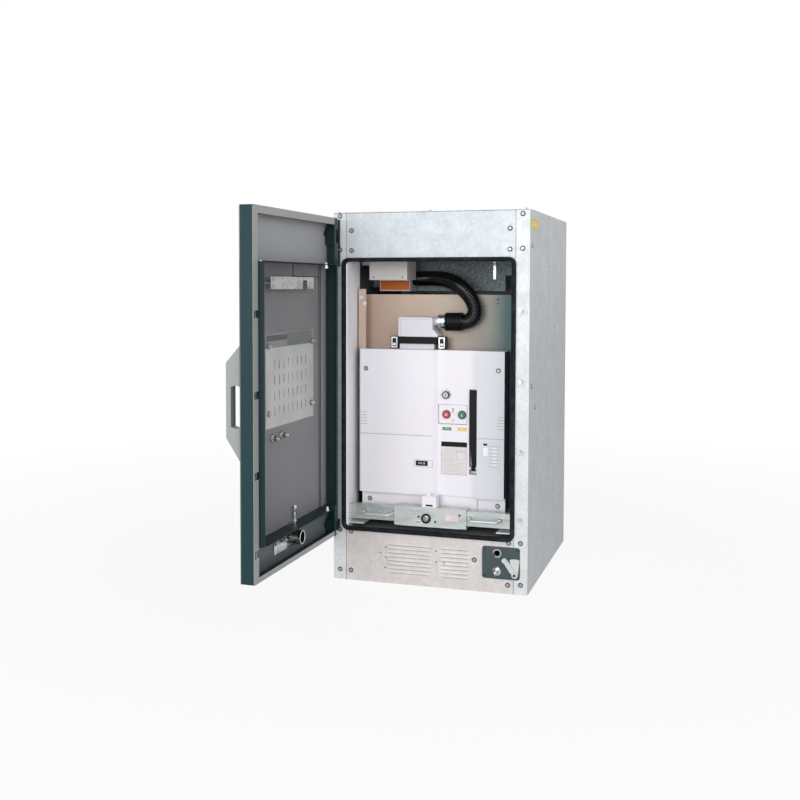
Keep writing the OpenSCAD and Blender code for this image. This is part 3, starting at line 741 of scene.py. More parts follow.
@dataclass(frozen=True)
class Palette:
    """Every finish of the breaker and its compartment."""

    panel: Finish = Galvanised("galvanised_panel", (0.675, 0.695, 0.7))
    top_panel: Finish = Galvanised("galvanised_top", (0.59, 0.635, 0.665))
    base_panel: Finish = Galvanised("galvanised_base", (0.645, 0.605, 0.585))
    inner: Finish = Galvanised("galvanised_inner", (0.6, 0.61, 0.62), contrast=0.08)
    # the compartment floor's dark tone is painted shade
    floor: Finish = Galvanised("galvanised_floor", (0.2, 0.21, 0.215), contrast=0.1)
    back: Finish = Speckled("galvanised_back", (0.085, 0.11, 0.115), metallic=0.2)
    wall: Finish = WallPaint("inner_wall_white", (0.93, 0.93, 0.96))
    zinc: Finish = Plated("zinc_plated", (0.5, 0.54, 0.54), metallic=0.5)
    silver: Finish = Plated("silver_plated", (0.82, 0.81, 0.78), metallic=1.0, roughness=0.22)
    # painted reflection bands on the chrome
    chrome: Finish = Plated("bright_chrome", (0.85, 0.86, 0.88), straw=(0.7, 0.72, 0.75), painted_reflection=0.8,
                            band=0.01, metallic=1.0, roughness=0.14)
    resin: Finish = Resin("cast_resin", (0.24, 0.075, 0.045))
    copper: Finish = Plated("copper_bar", (0.72, 0.36, 0.2), straw=(0.6, 0.28, 0.16), metallic=1.0)
    gasket: Finish = Rubber("gasket_rubber", (0.005, 0.007, 0.01), shine=0.15)
    conduit: Finish = Moulded("black_conduit", (0.004, 0.0045, 0.005), roughness=0.2, shine=0.4)
    black: Finish = Moulded("black_plastic", (0.004, 0.006, 0.006), shine=0.15)
    dark_steel: Finish = PowderCoat("hinge_steel", (0.012, 0.018, 0.02))
    grey_paint: Finish = PowderCoat("light_grey_paint", (0.6, 0.57, 0.555))
    handle_paint: Finish = PowderCoat("handle_grey_paint", (0.31, 0.325, 0.32))
    lever_paint: Finish = PowderCoat("lever_grey_paint", (0.58, 0.6, 0.59))
    white: Finish = Moulded("white_moulding", (0.8, 0.79, 0.84))
    # the housing's and the covers' right side faces carry painted shade
    housing: Finish = Moulded("housing_moulding", (0.8, 0.79, 0.84), shaded_side_x=0.2117)
    front: Finish = Moulded("front_cover_moulding", (0.8, 0.79, 0.84), shaded_side_x=0.2197)
    cover: Finish = Moulded("side_cover_moulding", (0.66, 0.68, 0.74), shaded_side_x=0.2197)
    tan: Finish = Passivated("tan_passivated", (0.55, 0.405, 0.335))
    red: Finish = Moulded("red_button", (0.42, 0.012, 0.012), roughness=0.25)
    green: Finish = Moulded("green_button", (0.005, 0.16, 0.1), roughness=0.25)
    door: Finish = DoorPaint("dark_door_paint", (0.014, 0.043, 0.05), shine=0.2)
    frame_paint: Finish = PowderCoat("door_frame_paint", (0.008, 0.024, 0.027), shine=0.2)
    plate: Finish = PowderCoat("dark_plate", (0.055, 0.077, 0.08), shine=0.25)
    screen: Finish = SlottedSheet("screen_sheet", (0.64, 0.64, 0.61))
    pane: Finish = Clear("clear_pane", (0.95, 0.97, 0.97), veil=0.07)
    steel: Finish = Plated("bolt_zinc", (0.36, 0.37, 0.38), straw=(0.42, 0.42, 0.4), roughness=0.35)
    grey_steel: Finish = Plated("lock_steel", (0.3, 0.3, 0.31), straw=(0.36, 0.36, 0.36), metallic=1.0)
    # painted reflection bands on the bracket
    bracket: Finish = Plated("bracket_zinc", (0.93, 0.95, 0.95), straw=(0.88, 0.9, 0.9), painted_reflection=0.4,
                             band=0.08, metallic=0.5)
    # the port's dark tone and its bands are painted reflection
    port: Finish = Plated("port_zinc", (0.3, 0.32, 0.32), straw=(0.4, 0.42, 0.42), painted_reflection=0.9, band=0.012,
                          metallic=0.9, roughness=0.22)
    rail: Finish = Plated("rail_zinc", (0.85, 0.87, 0.88), straw=(0.75, 0.78, 0.78), metallic=0.1)
    white_screw: Finish = Plated("pale_screw", (0.9, 0.9, 0.88), metallic=0.4)
    label: Finish = Moulded("bare_label", (0.72, 0.68, 0.7), roughness=0.35)
    # print, and painted shade in the panel seams and along the button plate's edges
    print_and_shade_grey: Finish = Moulded("print_and_shade_line", (0.035, 0.035, 0.04), roughness=0.4, shine=0.2)
    yellow: Finish = Moulded("yellow_label", (0.95, 0.66, 0.05), roughness=0.4)
    orange: Finish = Moulded("orange_label", (0.52, 0.13, 0.012), roughness=0.4, shine=0.2)
    red_line: Finish = Moulded("red_print", (0.5, 0.03, 0.02), roughness=0.4)
    flag_green: Finish = Moulded("green_flag", (0.03, 0.22, 0.11), roughness=0.35)
    flag_yellow: Finish = Moulded("yellow_flag", (0.8, 0.52, 0.05), roughness=0.35)
    # painted shade in the grooves, seams and rings round the buttons
    shadow_line: Finish = Moulded("groove_shadow_grey", (0.3, 0.3, 0.34))
    # painted shade: rings round screw heads and the slots in the latch end plates; also the middle nut of each
    # door bolt cluster
    seam: Finish = Moulded("dark_mark_grey", (0.07, 0.075, 0.08), roughness=0.6, shine=0.2)
    skin_light: Finish = PowderCoat("door_inner_grey", (0.25, 0.24, 0.255))
    # painted reflection in the door's window
    reflection_dark: Finish = PowderCoat("window_reflection_dark", (0.035, 0.055, 0.05), shine=0.1)
    reflection_grey: Finish = PowderCoat("window_reflection_grey", (0.13, 0.16, 0.145), unevenness=0.3, shine=0.1)
    # painted reflection bands on the door nuts
    nut: Finish = Plated("door_nut", (0.75, 0.75, 0.75), painted_reflection=0.6, band=0.006, metallic=0.6)
    pale_print: Finish = Moulded("pale_print", (0.12, 0.1, 0.105), roughness=0.4, shine=0.2)
    plug: Finish = Moulded("plug_moulding", (0.66, 0.66, 0.72))
    paper: Finish = Moulded("paper_white", (0.84, 0.84, 0.86), roughness=0.45)
    rating: Finish = Moulded("rating_plate_grey", (0.64, 0.655, 0.71), roughness=0.35)
    olive: Finish = Moulded("olive_print", (0.25, 0.24, 0.08), roughness=0.4)
    brown_print: Finish = Moulded("brown_print", (0.12, 0.035, 0.01), roughness=0.4)


PALETTE = Palette()

NODE_FINISHES: dict[str, Finish] = {
    "left_side_panel": PALETTE.panel, "right_side_panel": PALETTE.panel,
    "top_front_panel": PALETTE.top_panel, "base_front_panel": PALETTE.base_panel,
    "roof_panel": PALETTE.panel, "base_plate": PALETTE.panel,
    "compartment_floor": PALETTE.floor, "left_inner_wall": PALETTE.wall,
    "right_inner_wall": PALETTE.wall, "spout_plate": PALETTE.inner,
    "spout_bushings": PALETTE.resin, "busbar_terminals": PALETTE.copper,
    "door_gasket": PALETTE.gasket, "wiring_box": PALETTE.grey_paint,
    "lever_guide": PALETTE.lever_paint, "hose_cuff": PALETTE.black, "door_interlock": PALETTE.chrome,
    "upper_barrier": PALETTE.back, "hose": PALETTE.conduit,
    "left_guide_rail": PALETTE.rail, "right_guide_rail": PALETTE.rail,
    "cross_beam": PALETTE.zinc, "beam_handles": PALETTE.zinc,
    "position_switch_box": PALETTE.white, "door_keepers": PALETTE.zinc,
    "hinge_brackets": PALETTE.dark_steel, "earthing_plate": PALETTE.plate,
    "earthing_lock": PALETTE.chrome, "shutter_lever": PALETTE.lever_paint,
    "breaker_truck": PALETTE.zinc, "truck_wheels": PALETTE.black,
    "bulkhead_plate": PALETTE.tan, "mechanism_housing": PALETTE.housing,
    "front_cover": PALETTE.front, "side_cover": PALETTE.cover,
    "button_plate": PALETTE.white, "key_lock": PALETTE.grey_steel,
    "operation_counter": PALETTE.black, "off_button": PALETTE.red,
    "on_button": PALETTE.green, "charging_handle": PALETTE.black,
    "plug_housing": PALETTE.plug, "plug_latch": PALETTE.black,
    "hose_coupling": PALETTE.chrome, "pole_units": PALETTE.resin,
    "contact_arms": PALETTE.silver, "door_pan": PALETTE.door,
    "door_frame": PALETTE.frame_paint, "slotted_screen": PALETTE.screen,
    "window_pane": PALETTE.pane, "document_bracket": PALETTE.bracket,
    "racking_port": PALETTE.port, "door_hinge_knuckles": PALETTE.dark_steel,
    "latch_bar": PALETTE.zinc, "door_handle": PALETTE.handle_paint,
}


def dress_nodes() -> None:
    """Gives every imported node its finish."""
    for name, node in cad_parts.items():
        material = NODE_FINISHES[name].build()
        node.data.materials.clear()
        node.data.materials.append(material)
    LOG.info("dressed %d packed nodes", len(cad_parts))


# ---------------------------------------------------------------- shapes


class Shape:
    """A mesh in the making, in metres, shaped with bmesh operators."""

    def __init__(self) -> None:
        """Starts an empty mesh."""
        self.bm = bmesh.new()

    def soften(self, verts: Iterable[bmesh.types.BMVert], width: float, segments: int = 2) -> None:
        """Rounds every edge between the given vertices.

        Args:
            verts: the vertices of one closed shape.
            width: how wide the rounding is.
            segments: how many faces it has.
        """
        held = set(verts)
        edges = [e for e in self.bm.edges if e.verts[0] in held and e.verts[1] in held]
        sharp = [e for e in edges if len(e.link_faces) == 2 and e.calc_face_angle(0.0) > 0.6]
        bmesh.ops.bevel(self.bm, geom=sharp, offset=width, offset_type="OFFSET", affect="EDGES",
                        segments=segments, profile=0.5, material=-1, clamp_overlap=True)

    def block(self, low: Sequence[float], high: Sequence[float], soft: float = 0.0) -> "Shape":
        """Adds a block between two corners.

        Args:
            low: its lowest corner.
            high: its highest corner.
            soft: the width of its rounded edges.

        Returns:
            This shape.
        """
        start, end = Vector(low), Vector(high)
        size = end - start
        place = Matrix.Translation((start + end) / 2) @ Matrix.Diagonal((*size, 1.0))
        made = bmesh.ops.create_cube(self.bm, size=1.0, matrix=place)
        if soft:
            self.soften(made["verts"], soft)
        return self

    def turned(self, place: Matrix, profile: Sequence[tuple[float, float]], sides: int = 20) -> "Shape":
        """Spins a profile about the place's own Z.

        Args:
            place: where the piece stands and the way it points.
            profile: radius and height of each point, from the axis round to the axis.
            sides: how many steps make the turn.

        Returns:
            This shape.
        """
        known = set(self.bm.verts)
        line = [self.bm.verts.new((radius, 0.0, height)) for radius, height in profile]
        edges = [self.bm.edges.new(pair) for pair in zip(line, line[1:])]
        bmesh.ops.spin(self.bm, geom=[*line, *edges], cent=(0.0, 0.0, 0.0), axis=(0.0, 0.0, 1.0),
                       angle=math.tau, steps=sides, use_merge=True)
        made = [v for v in self.bm.verts if v not in known]
        bmesh.ops.remove_doubles(self.bm, verts=made, dist=1e-6)
        made = [v for v in self.bm.verts if v not in known]
        bmesh.ops.transform(self.bm, matrix=place, verts=made)
        return self

    def prism(self, place: Matrix, outline: Sequence[tuple[float, float]], thick: float,
              soft: float = 0.0) -> "Shape":
        """Raises a flat outline out of a face.

        Args:
            place: where the outline's zero lies and the way it faces.
            outline: its corners, anticlockwise as seen from outside.
            thick: how far it stands out.
            soft: the width of its rounded edges.

        Returns:
            This shape.
        """
        base = self.bm.faces.new([self.bm.verts.new((a, b, 0.0)) for a, b in outline])
        low = list(base.verts)
        grown = bmesh.ops.extrude_face_region(self.bm, geom=[base], use_keep_orig=True)["geom"]
        high = [g for g in grown if isinstance(g, bmesh.types.BMVert)]
        bmesh.ops.translate(self.bm, vec=(0.0, 0.0, thick), verts=high)
        bmesh.ops.transform(self.bm, matrix=place, verts=[*low, *high])
        if soft:
            self.soften([*low, *high], soft, 1)
        return self

    def card(self, place: Matrix, width: float, height: float, thick: float, corner: float = 0.0) -> "Shape":
        """Lays a thin card centred on a place.

        Args:
            place: the middle of its back and the way it faces.
            width: its size to the right.
            height: its size upwards.
            thick: how far it stands out.
            corner: the radius of its four corners.

        Returns:
            This shape.
        """
        held = place @ lifted(thick / 2) @ Matrix.Diagonal((width, height, thick, 1.0))
        verts = bmesh.ops.create_cube(self.bm, size=1.0, matrix=held)["verts"]
        if corner:
            out = (place.to_3x3() @ Vector((0.0, 0.0, 1.0))).normalized()
            edges = {e for v in verts for e in v.link_edges}
            posts = [e for e in edges if abs((e.verts[0].co - e.verts[1].co).normalized().dot(out)) > 0.99]
            bmesh.ops.bevel(self.bm, geom=posts, offset=corner, offset_type="OFFSET", affect="EDGES",
                            segments=4, profile=0.5, material=-1, clamp_overlap=True)
        return self

    def border(self, place: Matrix, width: float, height: float, line: float, thick: float) -> "Shape":
        """Draws the four sides of a rectangle as thin raised strips.

        Args:
            place: the middle of the rectangle and the way it faces.
            width: its outer width.
            height: its outer height.
            line: how wide the strips are.
            thick: how far they stand out.

        Returns:
            This shape.
        """
        for side in (-1, 1):
            self.card(place @ moved(0.0, side * (height - line) / 2), width, line, thick)
            self.card(place @ moved(side * (width - line) / 2, 0.0), line, height - 2 * line, thick)
        return self

    def pan_screw(self, place: Matrix, radius: float, washer: float = 0.0) -> "Shape":
        """Sets a round-headed screw with a socket, on a washer where it has one.

        Args:
            place: where it sits and the way it faces.
            radius: the radius of its head.
            washer: the radius of its washer, or nothing.

        Returns:
            This shape.
        """
        base = 0.0012 if washer else 0.0
        if washer:
            self.turned(place, [
                (0, 0), (washer, 0), (washer, base * 0.6), (washer - 0.0005, base), (0, base)])
        tall, hole = base + radius * 0.55, radius * 0.42
        return self.turned(place, [
            (0, base), (radius, base), (radius, base + radius * 0.15), (radius * 0.93, base + radius * 0.34),
            (radius * 0.72, tall), (hole, tall), (hole, tall - radius * 0.4), (0, tall - radius * 0.4)])

    def shadow_ring(self, place: Matrix, radius: float) -> "Shape":
        """Lays a thin dark ring round a screw's head, as painted shadow."""
        return self.turned(place, [(0, 0), (radius, 0), (radius, 0.0004), (0, 0.0005)])

    def hex_bolt(self, place: Matrix, across: float, washer: float, stud: float = 0.0) -> "Shape":
        """Sets a hexagon bolt or nut on a washer, with a stud through it where it has one.

        Args:
            place: where it sits and the way it faces.
            across: half its width over the corners.
            washer: the radius of its washer.
            stud: how far a threaded end stands out, or nothing.

        Returns:
            This shape.
        """
        self.turned(place, [(0, 0), (washer, 0), (washer, 0.0009), (washer - 0.0004, 0.0014), (0, 0.0014)])
        tall = 0.0014 + across * 0.8
        self.turned(place, [
            (0, 0.0014), (across, 0.0014), (across, tall * 0.9), (across * 0.86, tall), (0, tall)], 6)
        if stud:
            core = across * 0.52
            self.turned(place, [
                (0, tall), (core, tall), (core, stud - 0.001), (core * 0.75, stud), (0, stud)], 12)
        return self

    def words(self, place: Matrix, text: str, height: float, thick: float = 0.0002) -> "Shape":
        """Raises plain figures, such as a counter's, centred on a place.

        Args:
            place: their middle and the way they face.
            text: the figures.
            height: how high they are.
            thick: how far they stand out.

        Returns:
            This shape.
        """
        curve = bpy.data.curves.new("figures", "FONT")
        curve.body, curve.size, curve.extrude = text, height, thick / 2
        curve.align_x, curve.align_y = "CENTER", "CENTER"
        holder = bpy.data.objects.new("figures", curve)
        bpy.context.scene.collection.objects.link(holder)
        mesh = bpy.data.meshes.new_from_object(holder.evaluated_get(bpy.context.evaluated_depsgraph_get()))
        known = set(self.bm.verts)
        self.bm.from_mesh(mesh)
        made = [v for v in self.bm.verts if v not in known]
        bmesh.ops.transform(self.bm, matrix=place @ lifted(thick / 2), verts=made)
        bpy.data.objects.remove(holder)
        bpy.data.curves.remove(curve)
        bpy.data.meshes.remove(mesh)
        return self

    def finish(self, name: str, finish: Finish, body: Body, slot: str) -> bpy.types.Object:
        """Makes the shape an object that rides on a body.

        Args:
            name: the piece's name.
            finish: what it is made of.
            body: the body that it moves with.
            slot: the record's material slot; not used.

        Returns:
            The piece.
        """
        bmesh.ops.recalc_face_normals(self.bm, faces=self.bm.faces)
        mesh = bpy.data.meshes.new(name)
        self.bm.to_mesh(mesh)
        self.bm.free()
        mesh.materials.append(finish.build())
        mesh.set_sharp_from_angle(angle=math.radians(35))
        for face in mesh.polygons:
            face.use_smooth = True
        piece = bpy.data.objects.new(name, mesh)
        bpy.context.scene.collection.objects.link(piece)
        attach(piece, body.value)
        LOG.info("%s: %d faces on %s", name, len(mesh.polygons), body.value)
        return piece


# ---------------------------------------------------------------- control hose


@dataclass
class ControlHose:
    """The corrugated conduit from the wiring box to the control plug."""

    route: tuple[Point, ...] = (
        (-0.112, -0.128, 0.922), (-0.099, -0.128, 0.922), (-0.081, -0.13, 0.922), (-0.055, -0.137, 0.923),
        (-0.025, -0.153, 0.922), (0.007, -0.175, 0.918), (0.037, -0.197, 0.909), (0.063, -0.218, 0.896),
        (0.086, -0.23, 0.878), (0.103, -0.235, 0.856), (0.112, -0.237, 0.833), (0.11, -0.237, 0.81),
        (0.098, -0.236, 0.796), (0.084, -0.235, 0.79), (0.075, -0.235, 0.79))
    outer: float = 0.023
    inner: float = 0.0195
    rib: float = 0.0068
    sides: int = 28

    def line(self) -> list[Vector]:
        """Works out the route as a smooth line of close points.

        Returns:
            The points.
        """
        held = [Vector(p) for p in self.route]
        ends = [2 * held[0] - held[1], *held, 2 * held[-1] - held[-2]]
        close: list[Vector] = []
        for a, b, c, d in zip(ends, ends[1:], ends[2:], ends[3:]):
            for step in range(40):
                t = step / 40
                close.append(0.5 * (2 * b + (c - a) * t + (2 * a - 5 * b + 4 * c - d) * t * t
                                    + (3 * b - 3 * c + d - a) * t ** 3))
        return [*close, held[-1]]

    def stations(self, line: list[Vector], step: float) -> tuple[list[Matrix], float]:
        """Walks the line in even steps.

        Args:
            line: the close points.
            step: how far apart the rings are.

        Returns:
            A frame for each ring, and the line's length.
        """
        reach = [0.0]
        for a, b in zip(line, line[1:]):
            reach.append(reach[-1] + (b - a).length)
        total = reach[-1]
        count = round(total / step)
        frames: list[Matrix] = []
        side = Vector((0.0, 1.0, 0.0))
        index = 0
        for ring in range(count + 1):
            want = total * ring / count
            while index < len(reach) - 2 and reach[index + 1] < want:
                index += 1
            share = (want - reach[index]) / (reach[index + 1] - reach[index])
            centre = line[index].lerp(line[index + 1], share)
            ahead = (line[min(index + 4, len(line) - 1)] - line[max(index - 4, 0)]).normalized()
            side = (side - ahead * side.dot(ahead)).normalized()
            third = ahead.cross(side)
            frames.append(Matrix.Translation(centre) @ Matrix((side, third, ahead)).transposed().to_4x4())
        return frames, total

    def build(self) -> bpy.types.Object:
        """Returns:
            The hose.
        """
        frames, total = self.stations(self.line(), self.rib / 4)
        wave = (self.inner, (self.inner + self.outer) / 2, self.outer, self.outer)
        radii = [wave[step % 4] for step in range(len(frames))]
        shape = Shape()
        scaled = [f @ Matrix.Diagonal((r, r, 1.0, 1.0)) for f, r in zip(frames, radii)]
        bmesh.ops.create_circle(shape.bm, cap_ends=True, radius=1.0, segments=self.sides, matrix=scaled[0])
        edges = list(shape.bm.edges)
        for before, after in zip(scaled, scaled[1:]):
            grown = bmesh.ops.extrude_edge_only(shape.bm, edges=edges)["geom"]
            verts = [g for g in grown if isinstance(g, bmesh.types.BMVert)]
            edges = [g for g in grown if isinstance(g, bmesh.types.BMEdge)]
            bmesh.ops.transform(shape.bm, matrix=after @ before.inverted(), verts=verts)
        bmesh.ops.holes_fill(shape.bm, edges=edges, sides=0)
        bmesh.ops.recalc_face_normals(shape.bm, faces=shape.bm.faces)
        mesh = bpy.data.meshes.new("corrugated_hose")
        shape.bm.to_mesh(mesh)
        shape.bm.free()
        mesh.materials.append(PALETTE.conduit.build())
        for face in mesh.polygons:
            face.use_smooth = True
        hose = bpy.data.objects.new("corrugated_hose", mesh)
        bpy.context.scene.collection.objects.link(hose)
        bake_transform(hose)
        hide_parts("hose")
        LOG.info("corrugated_hose: %.3f m long", total)
        return hose


# ---------------------------------------------------------------- cabinet


@dataclass
class PanelFixings:
    """The screws, rivets, side beads, seams and bare sticker of the cabinet's outer panels."""

    screws: tuple[Place, ...] = (
        (-0.242, 1.065), (0.242, 1.065), (-0.242, 1.005), (0.242, 1.005), (-0.279, 1.109), (0.279, 1.106),
        (-0.279, 1.007), (0.279, 1.007), (-0.279, 0.153), (0.279, 0.152), (-0.244, 0.03), (0.242, 0.0265),
        (0.28, 0.0295), (-0.279, 0.03), (-0.244, 0.15), (0.244, 0.1505), (0.142, 0.093))
    rivets: tuple[Place, ...] = (
        (-0.148, 0.092), (-0.131, 0.11), (-0.131, 0.078), (-0.133, 0.048), (0.025, 0.11), (0.026, 0.077),
        (0.05, 0.0765))
    side: tuple[Place, ...] = ((-0.315, 1.016), (-0.311, 0.607), (-0.251, 0.539))
    rear: tuple[Place, ...] = tuple((x, z) for x in (-0.282, 0.282) for z in (0.06, 0.31, 0.56, 0.81, 1.06))
    roof: tuple[Place, ...] = tuple((x, y) for x in (-0.287, 0.0, 0.287) for y in (-0.335, 0.0, 0.335))
    head: float = 0.0052
    shadow_ring: float = 0.0076
    bead_y: tuple[float, ...] = (-0.1472, 0.0178, 0.1698)
    bead_z: tuple[float, ...] = tuple(0.3025 + 0.11 * step for step in range(7))
    bead_size: Place = (0.0032, 0.053)
    posts_x: float = 0.259
    sticker_y: tuple[float, float] = (-0.333, -0.216)
    sticker_z: tuple[float, float] = (1.064, 1.093)

    def build(self) -> None:
        """Sets the fixings and lays the beads, the seams and the sticker."""
        front = Face.front(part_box("top_front_panel")[0].y)
        right_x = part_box("right_side_panel")[1].x
        places = [front.at(x, z) for x, z in self.screws]
        for y, z in self.side:
            places += [Face.right_side(right_x).at(y, z), Face.left_side(-right_x).at(-y, z)]
        places += [Face.rear(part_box("right_side_panel")[1].y).at(x, z) for x, z in self.rear]
        places += [Face.top(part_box("roof_panel")[1].z).at(x, y) for x, y in self.roof]
        shape, dark_rings = Shape(), Shape()
        # each screw gets a dark ring round its head as painted shadow
        for place in places:
            shape.pan_screw(place @ lifted(0.0005), self.head)
            dark_rings.shadow_ring(place, self.shadow_ring)
        shape.finish("panel_screws", PALETTE.steel, Body.CABINET, "zinc_plated")
        dark_rings.finish("panel_screw_shadow_rings", PALETTE.seam, Body.CABINET, "zinc_plated")
        # the beads' pale finish, brighter than the panel, is painted highlight on them
        beads = Shape()
        for y in self.bead_y:
            for z in self.bead_z:
                for place in (Face.right_side(right_x).at(y, z), Face.left_side(-right_x).at(-y, z)):
                    beads.card(place, *self.bead_size, 0.0008, 0.0014)
        beads.finish("side_beads", PALETTE.white_screw, Body.CABINET, "galvanised_panel")
        top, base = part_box("top_front_panel"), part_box("base_front_panel")
        # dark lines in the seams between the panels are painted shade
        seams = Shape().card(front.at(0.0, top[1].z - 0.0008), 2 * right_x - 0.004, 0.0012, SEAM)
        for side in (-1, 1):
            for low, high in (top, base):
                seams.card(front.at(side * self.posts_x, (low.z + high.z) / 2), 0.0012, high.z - low.z, SEAM)
        seams.finish("panel_seams", PALETTE.print_and_shade_grey, Body.CABINET, "galvanised_panel")
        pins = Shape()
        for x, z in self.rivets:
            pins.turned(front.at(x, z, 0.0018), [(0, 0), (0.0022, 0), (0.0019, 0.0007), (0, 0.001)], 12)
        pins.finish("base_rivets", PALETTE.print_and_shade_grey, Body.CABINET, "zinc_plated")
        (y0, y1), (z0, z1) = self.sticker_y, self.sticker_z
        middle = Face.right_side(right_x).between((y0, y1), (z0, z1))
        band = Shape().card(middle, y1 - y0, z1 - z0, 0.0003, 0.002)
        band.finish("side_sticker", PALETTE.yellow, Body.CABINET, "light_grey_paint")
        rules = Shape().border(middle @ lifted(STICKER), y1 - y0 - 0.006, z1 - z0 - 0.006, 0.0009, INK)
        rules.finish("side_sticker_border", PALETTE.print_and_shade_grey, Body.CABINET, "light_grey_paint")


@dataclass
class Gasket:
    """The rubber bead round the opening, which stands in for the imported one."""

    left: float = -0.2655
    right: float = 0.255
    low: float = 0.161
    high: float = 0.977
    corner: float = 0.016
    profile: tuple[Place, ...] = (
        (-0.006, 0.0), (-0.006, 0.0095), (-0.0042, 0.0128), (-0.0015, 0.014), (0.0015, 0.014),
        (0.0042, 0.0128), (0.006, 0.0095), (0.006, 0.0))
    front_y: float = -0.35

    def build(self) -> None:
        """Sweeps the bead's profile up, across, down and back, and turns it round each corner."""
        shape = Shape()
        bm = shape.bm
        across, up = self.right - self.left - 2 * self.corner, self.high - self.low - 2 * self.corner
        verts = [bm.verts.new((self.right + out, self.front_y - proud, self.low + self.corner))
                 for out, proud in self.profile]
        edges = [bm.edges.new(pair) for pair in zip(verts, [*verts[1:], verts[0]])]
        near_x = (self.left + self.corner, self.right - self.corner)
        near_z = (self.low + self.corner, self.high - self.corner)
        legs = (((0.0, 0.0, up), (near_x[1], near_z[1])), ((-across, 0.0, 0.0), (near_x[0], near_z[1])),
                ((0.0, 0.0, -up), (near_x[0], near_z[0])), ((across, 0.0, 0.0), (near_x[1], near_z[0])))
        for step, (x, z) in legs:
            grown = bmesh.ops.extrude_edge_only(bm, edges=edges)["geom"]
            verts = [g for g in grown if isinstance(g, bmesh.types.BMVert)]
            edges = [g for g in grown if isinstance(g, bmesh.types.BMEdge)]
            bmesh.ops.translate(bm, vec=step, verts=verts)
            last = bmesh.ops.spin(bm, geom=[*verts, *edges], cent=(x, self.front_y, z), axis=(0.0, -1.0, 0.0),
                                  angle=math.pi / 2, steps=8)["geom_last"]
            edges = [g for g in last if isinstance(g, bmesh.types.BMEdge)]
        bmesh.ops.remove_doubles(bm, verts=bm.verts, dist=1e-6)
        bead = shape.finish("gasket_bead", PALETTE.gasket, Body.CABINET, "gasket_rubber")
        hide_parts("door_gasket")


@dataclass
class UpperFittings:
    """The wiring block's bare plate and rules, the strip and screws beside it, and the bulkhead's screws."""

    plate_x: tuple[float, float] = (-0.209, -0.114)
    plate_z: tuple[float, float] = (0.886, 0.9145)
    block_y: float = -0.17
    box_y: float = -0.25
    hook: Point = (0.1455, -0.102, 0.9665)
    bulkhead_screws: tuple[Place, ...] = ((-0.242, 0.8635), (-0.2305, 0.8445))
    lip_y: float = -0.262

    def build(self) -> None:
        """Lays the plate, its rules and the strip, and sets the screws."""
        (x0, x1), (z0, z1) = self.plate_x, self.plate_z
        middle = Face.front(self.block_y).between((x0, x1), (z0, z1))
        plate = Shape().card(middle, x1 - x0, z1 - z0, 0.0006, 0.001)
        plate.finish("wiring_block_plate", PALETTE.orange, Body.CABINET, "light_grey_paint")
        rules = Shape().border(middle @ lifted(0.0006), x1 - x0 - 0.003, z1 - z0 - 0.003, 0.0007, INK)
        for level in (-0.25, 0.0, 0.25):
            rules.card(middle @ moved(0.0, level * (z1 - z0), 0.0006), (x1 - x0) * 0.86, 0.0005, INK)
        rules.finish("wiring_block_rules", PALETTE.brown_print, Body.CABINET, "light_grey_paint")
        hook = Shape().pan_screw(Face.front(self.hook[1]).at(self.hook[0], self.hook[2]), 0.0045)
        for x in (-0.205, -0.112):
            hook.pan_screw(Face.front(self.box_y).at(x, 0.925), 0.0022)
        hook.finish("upper_screws", PALETTE.dark_steel, Body.CABINET, "zinc_plated")
        middle = Face.front(self.hook[1]).at(self.hook[0] - 0.001, 0.947)
        strip = Shape().card(middle, 0.0075, 0.054, 0.0012, 0.0008)
        strip.finish("upper_strip", PALETTE.bracket, Body.CABINET, "zinc_plated")
        lip = Shape()
        for x, z in self.bulkhead_screws:
            lip.pan_screw(Face.front(self.lip_y).at(x, z), 0.0052, 0.0068)
        lip.finish("bulkhead_screws", PALETTE.white_screw, Body.BREAKER, "zinc_plated")


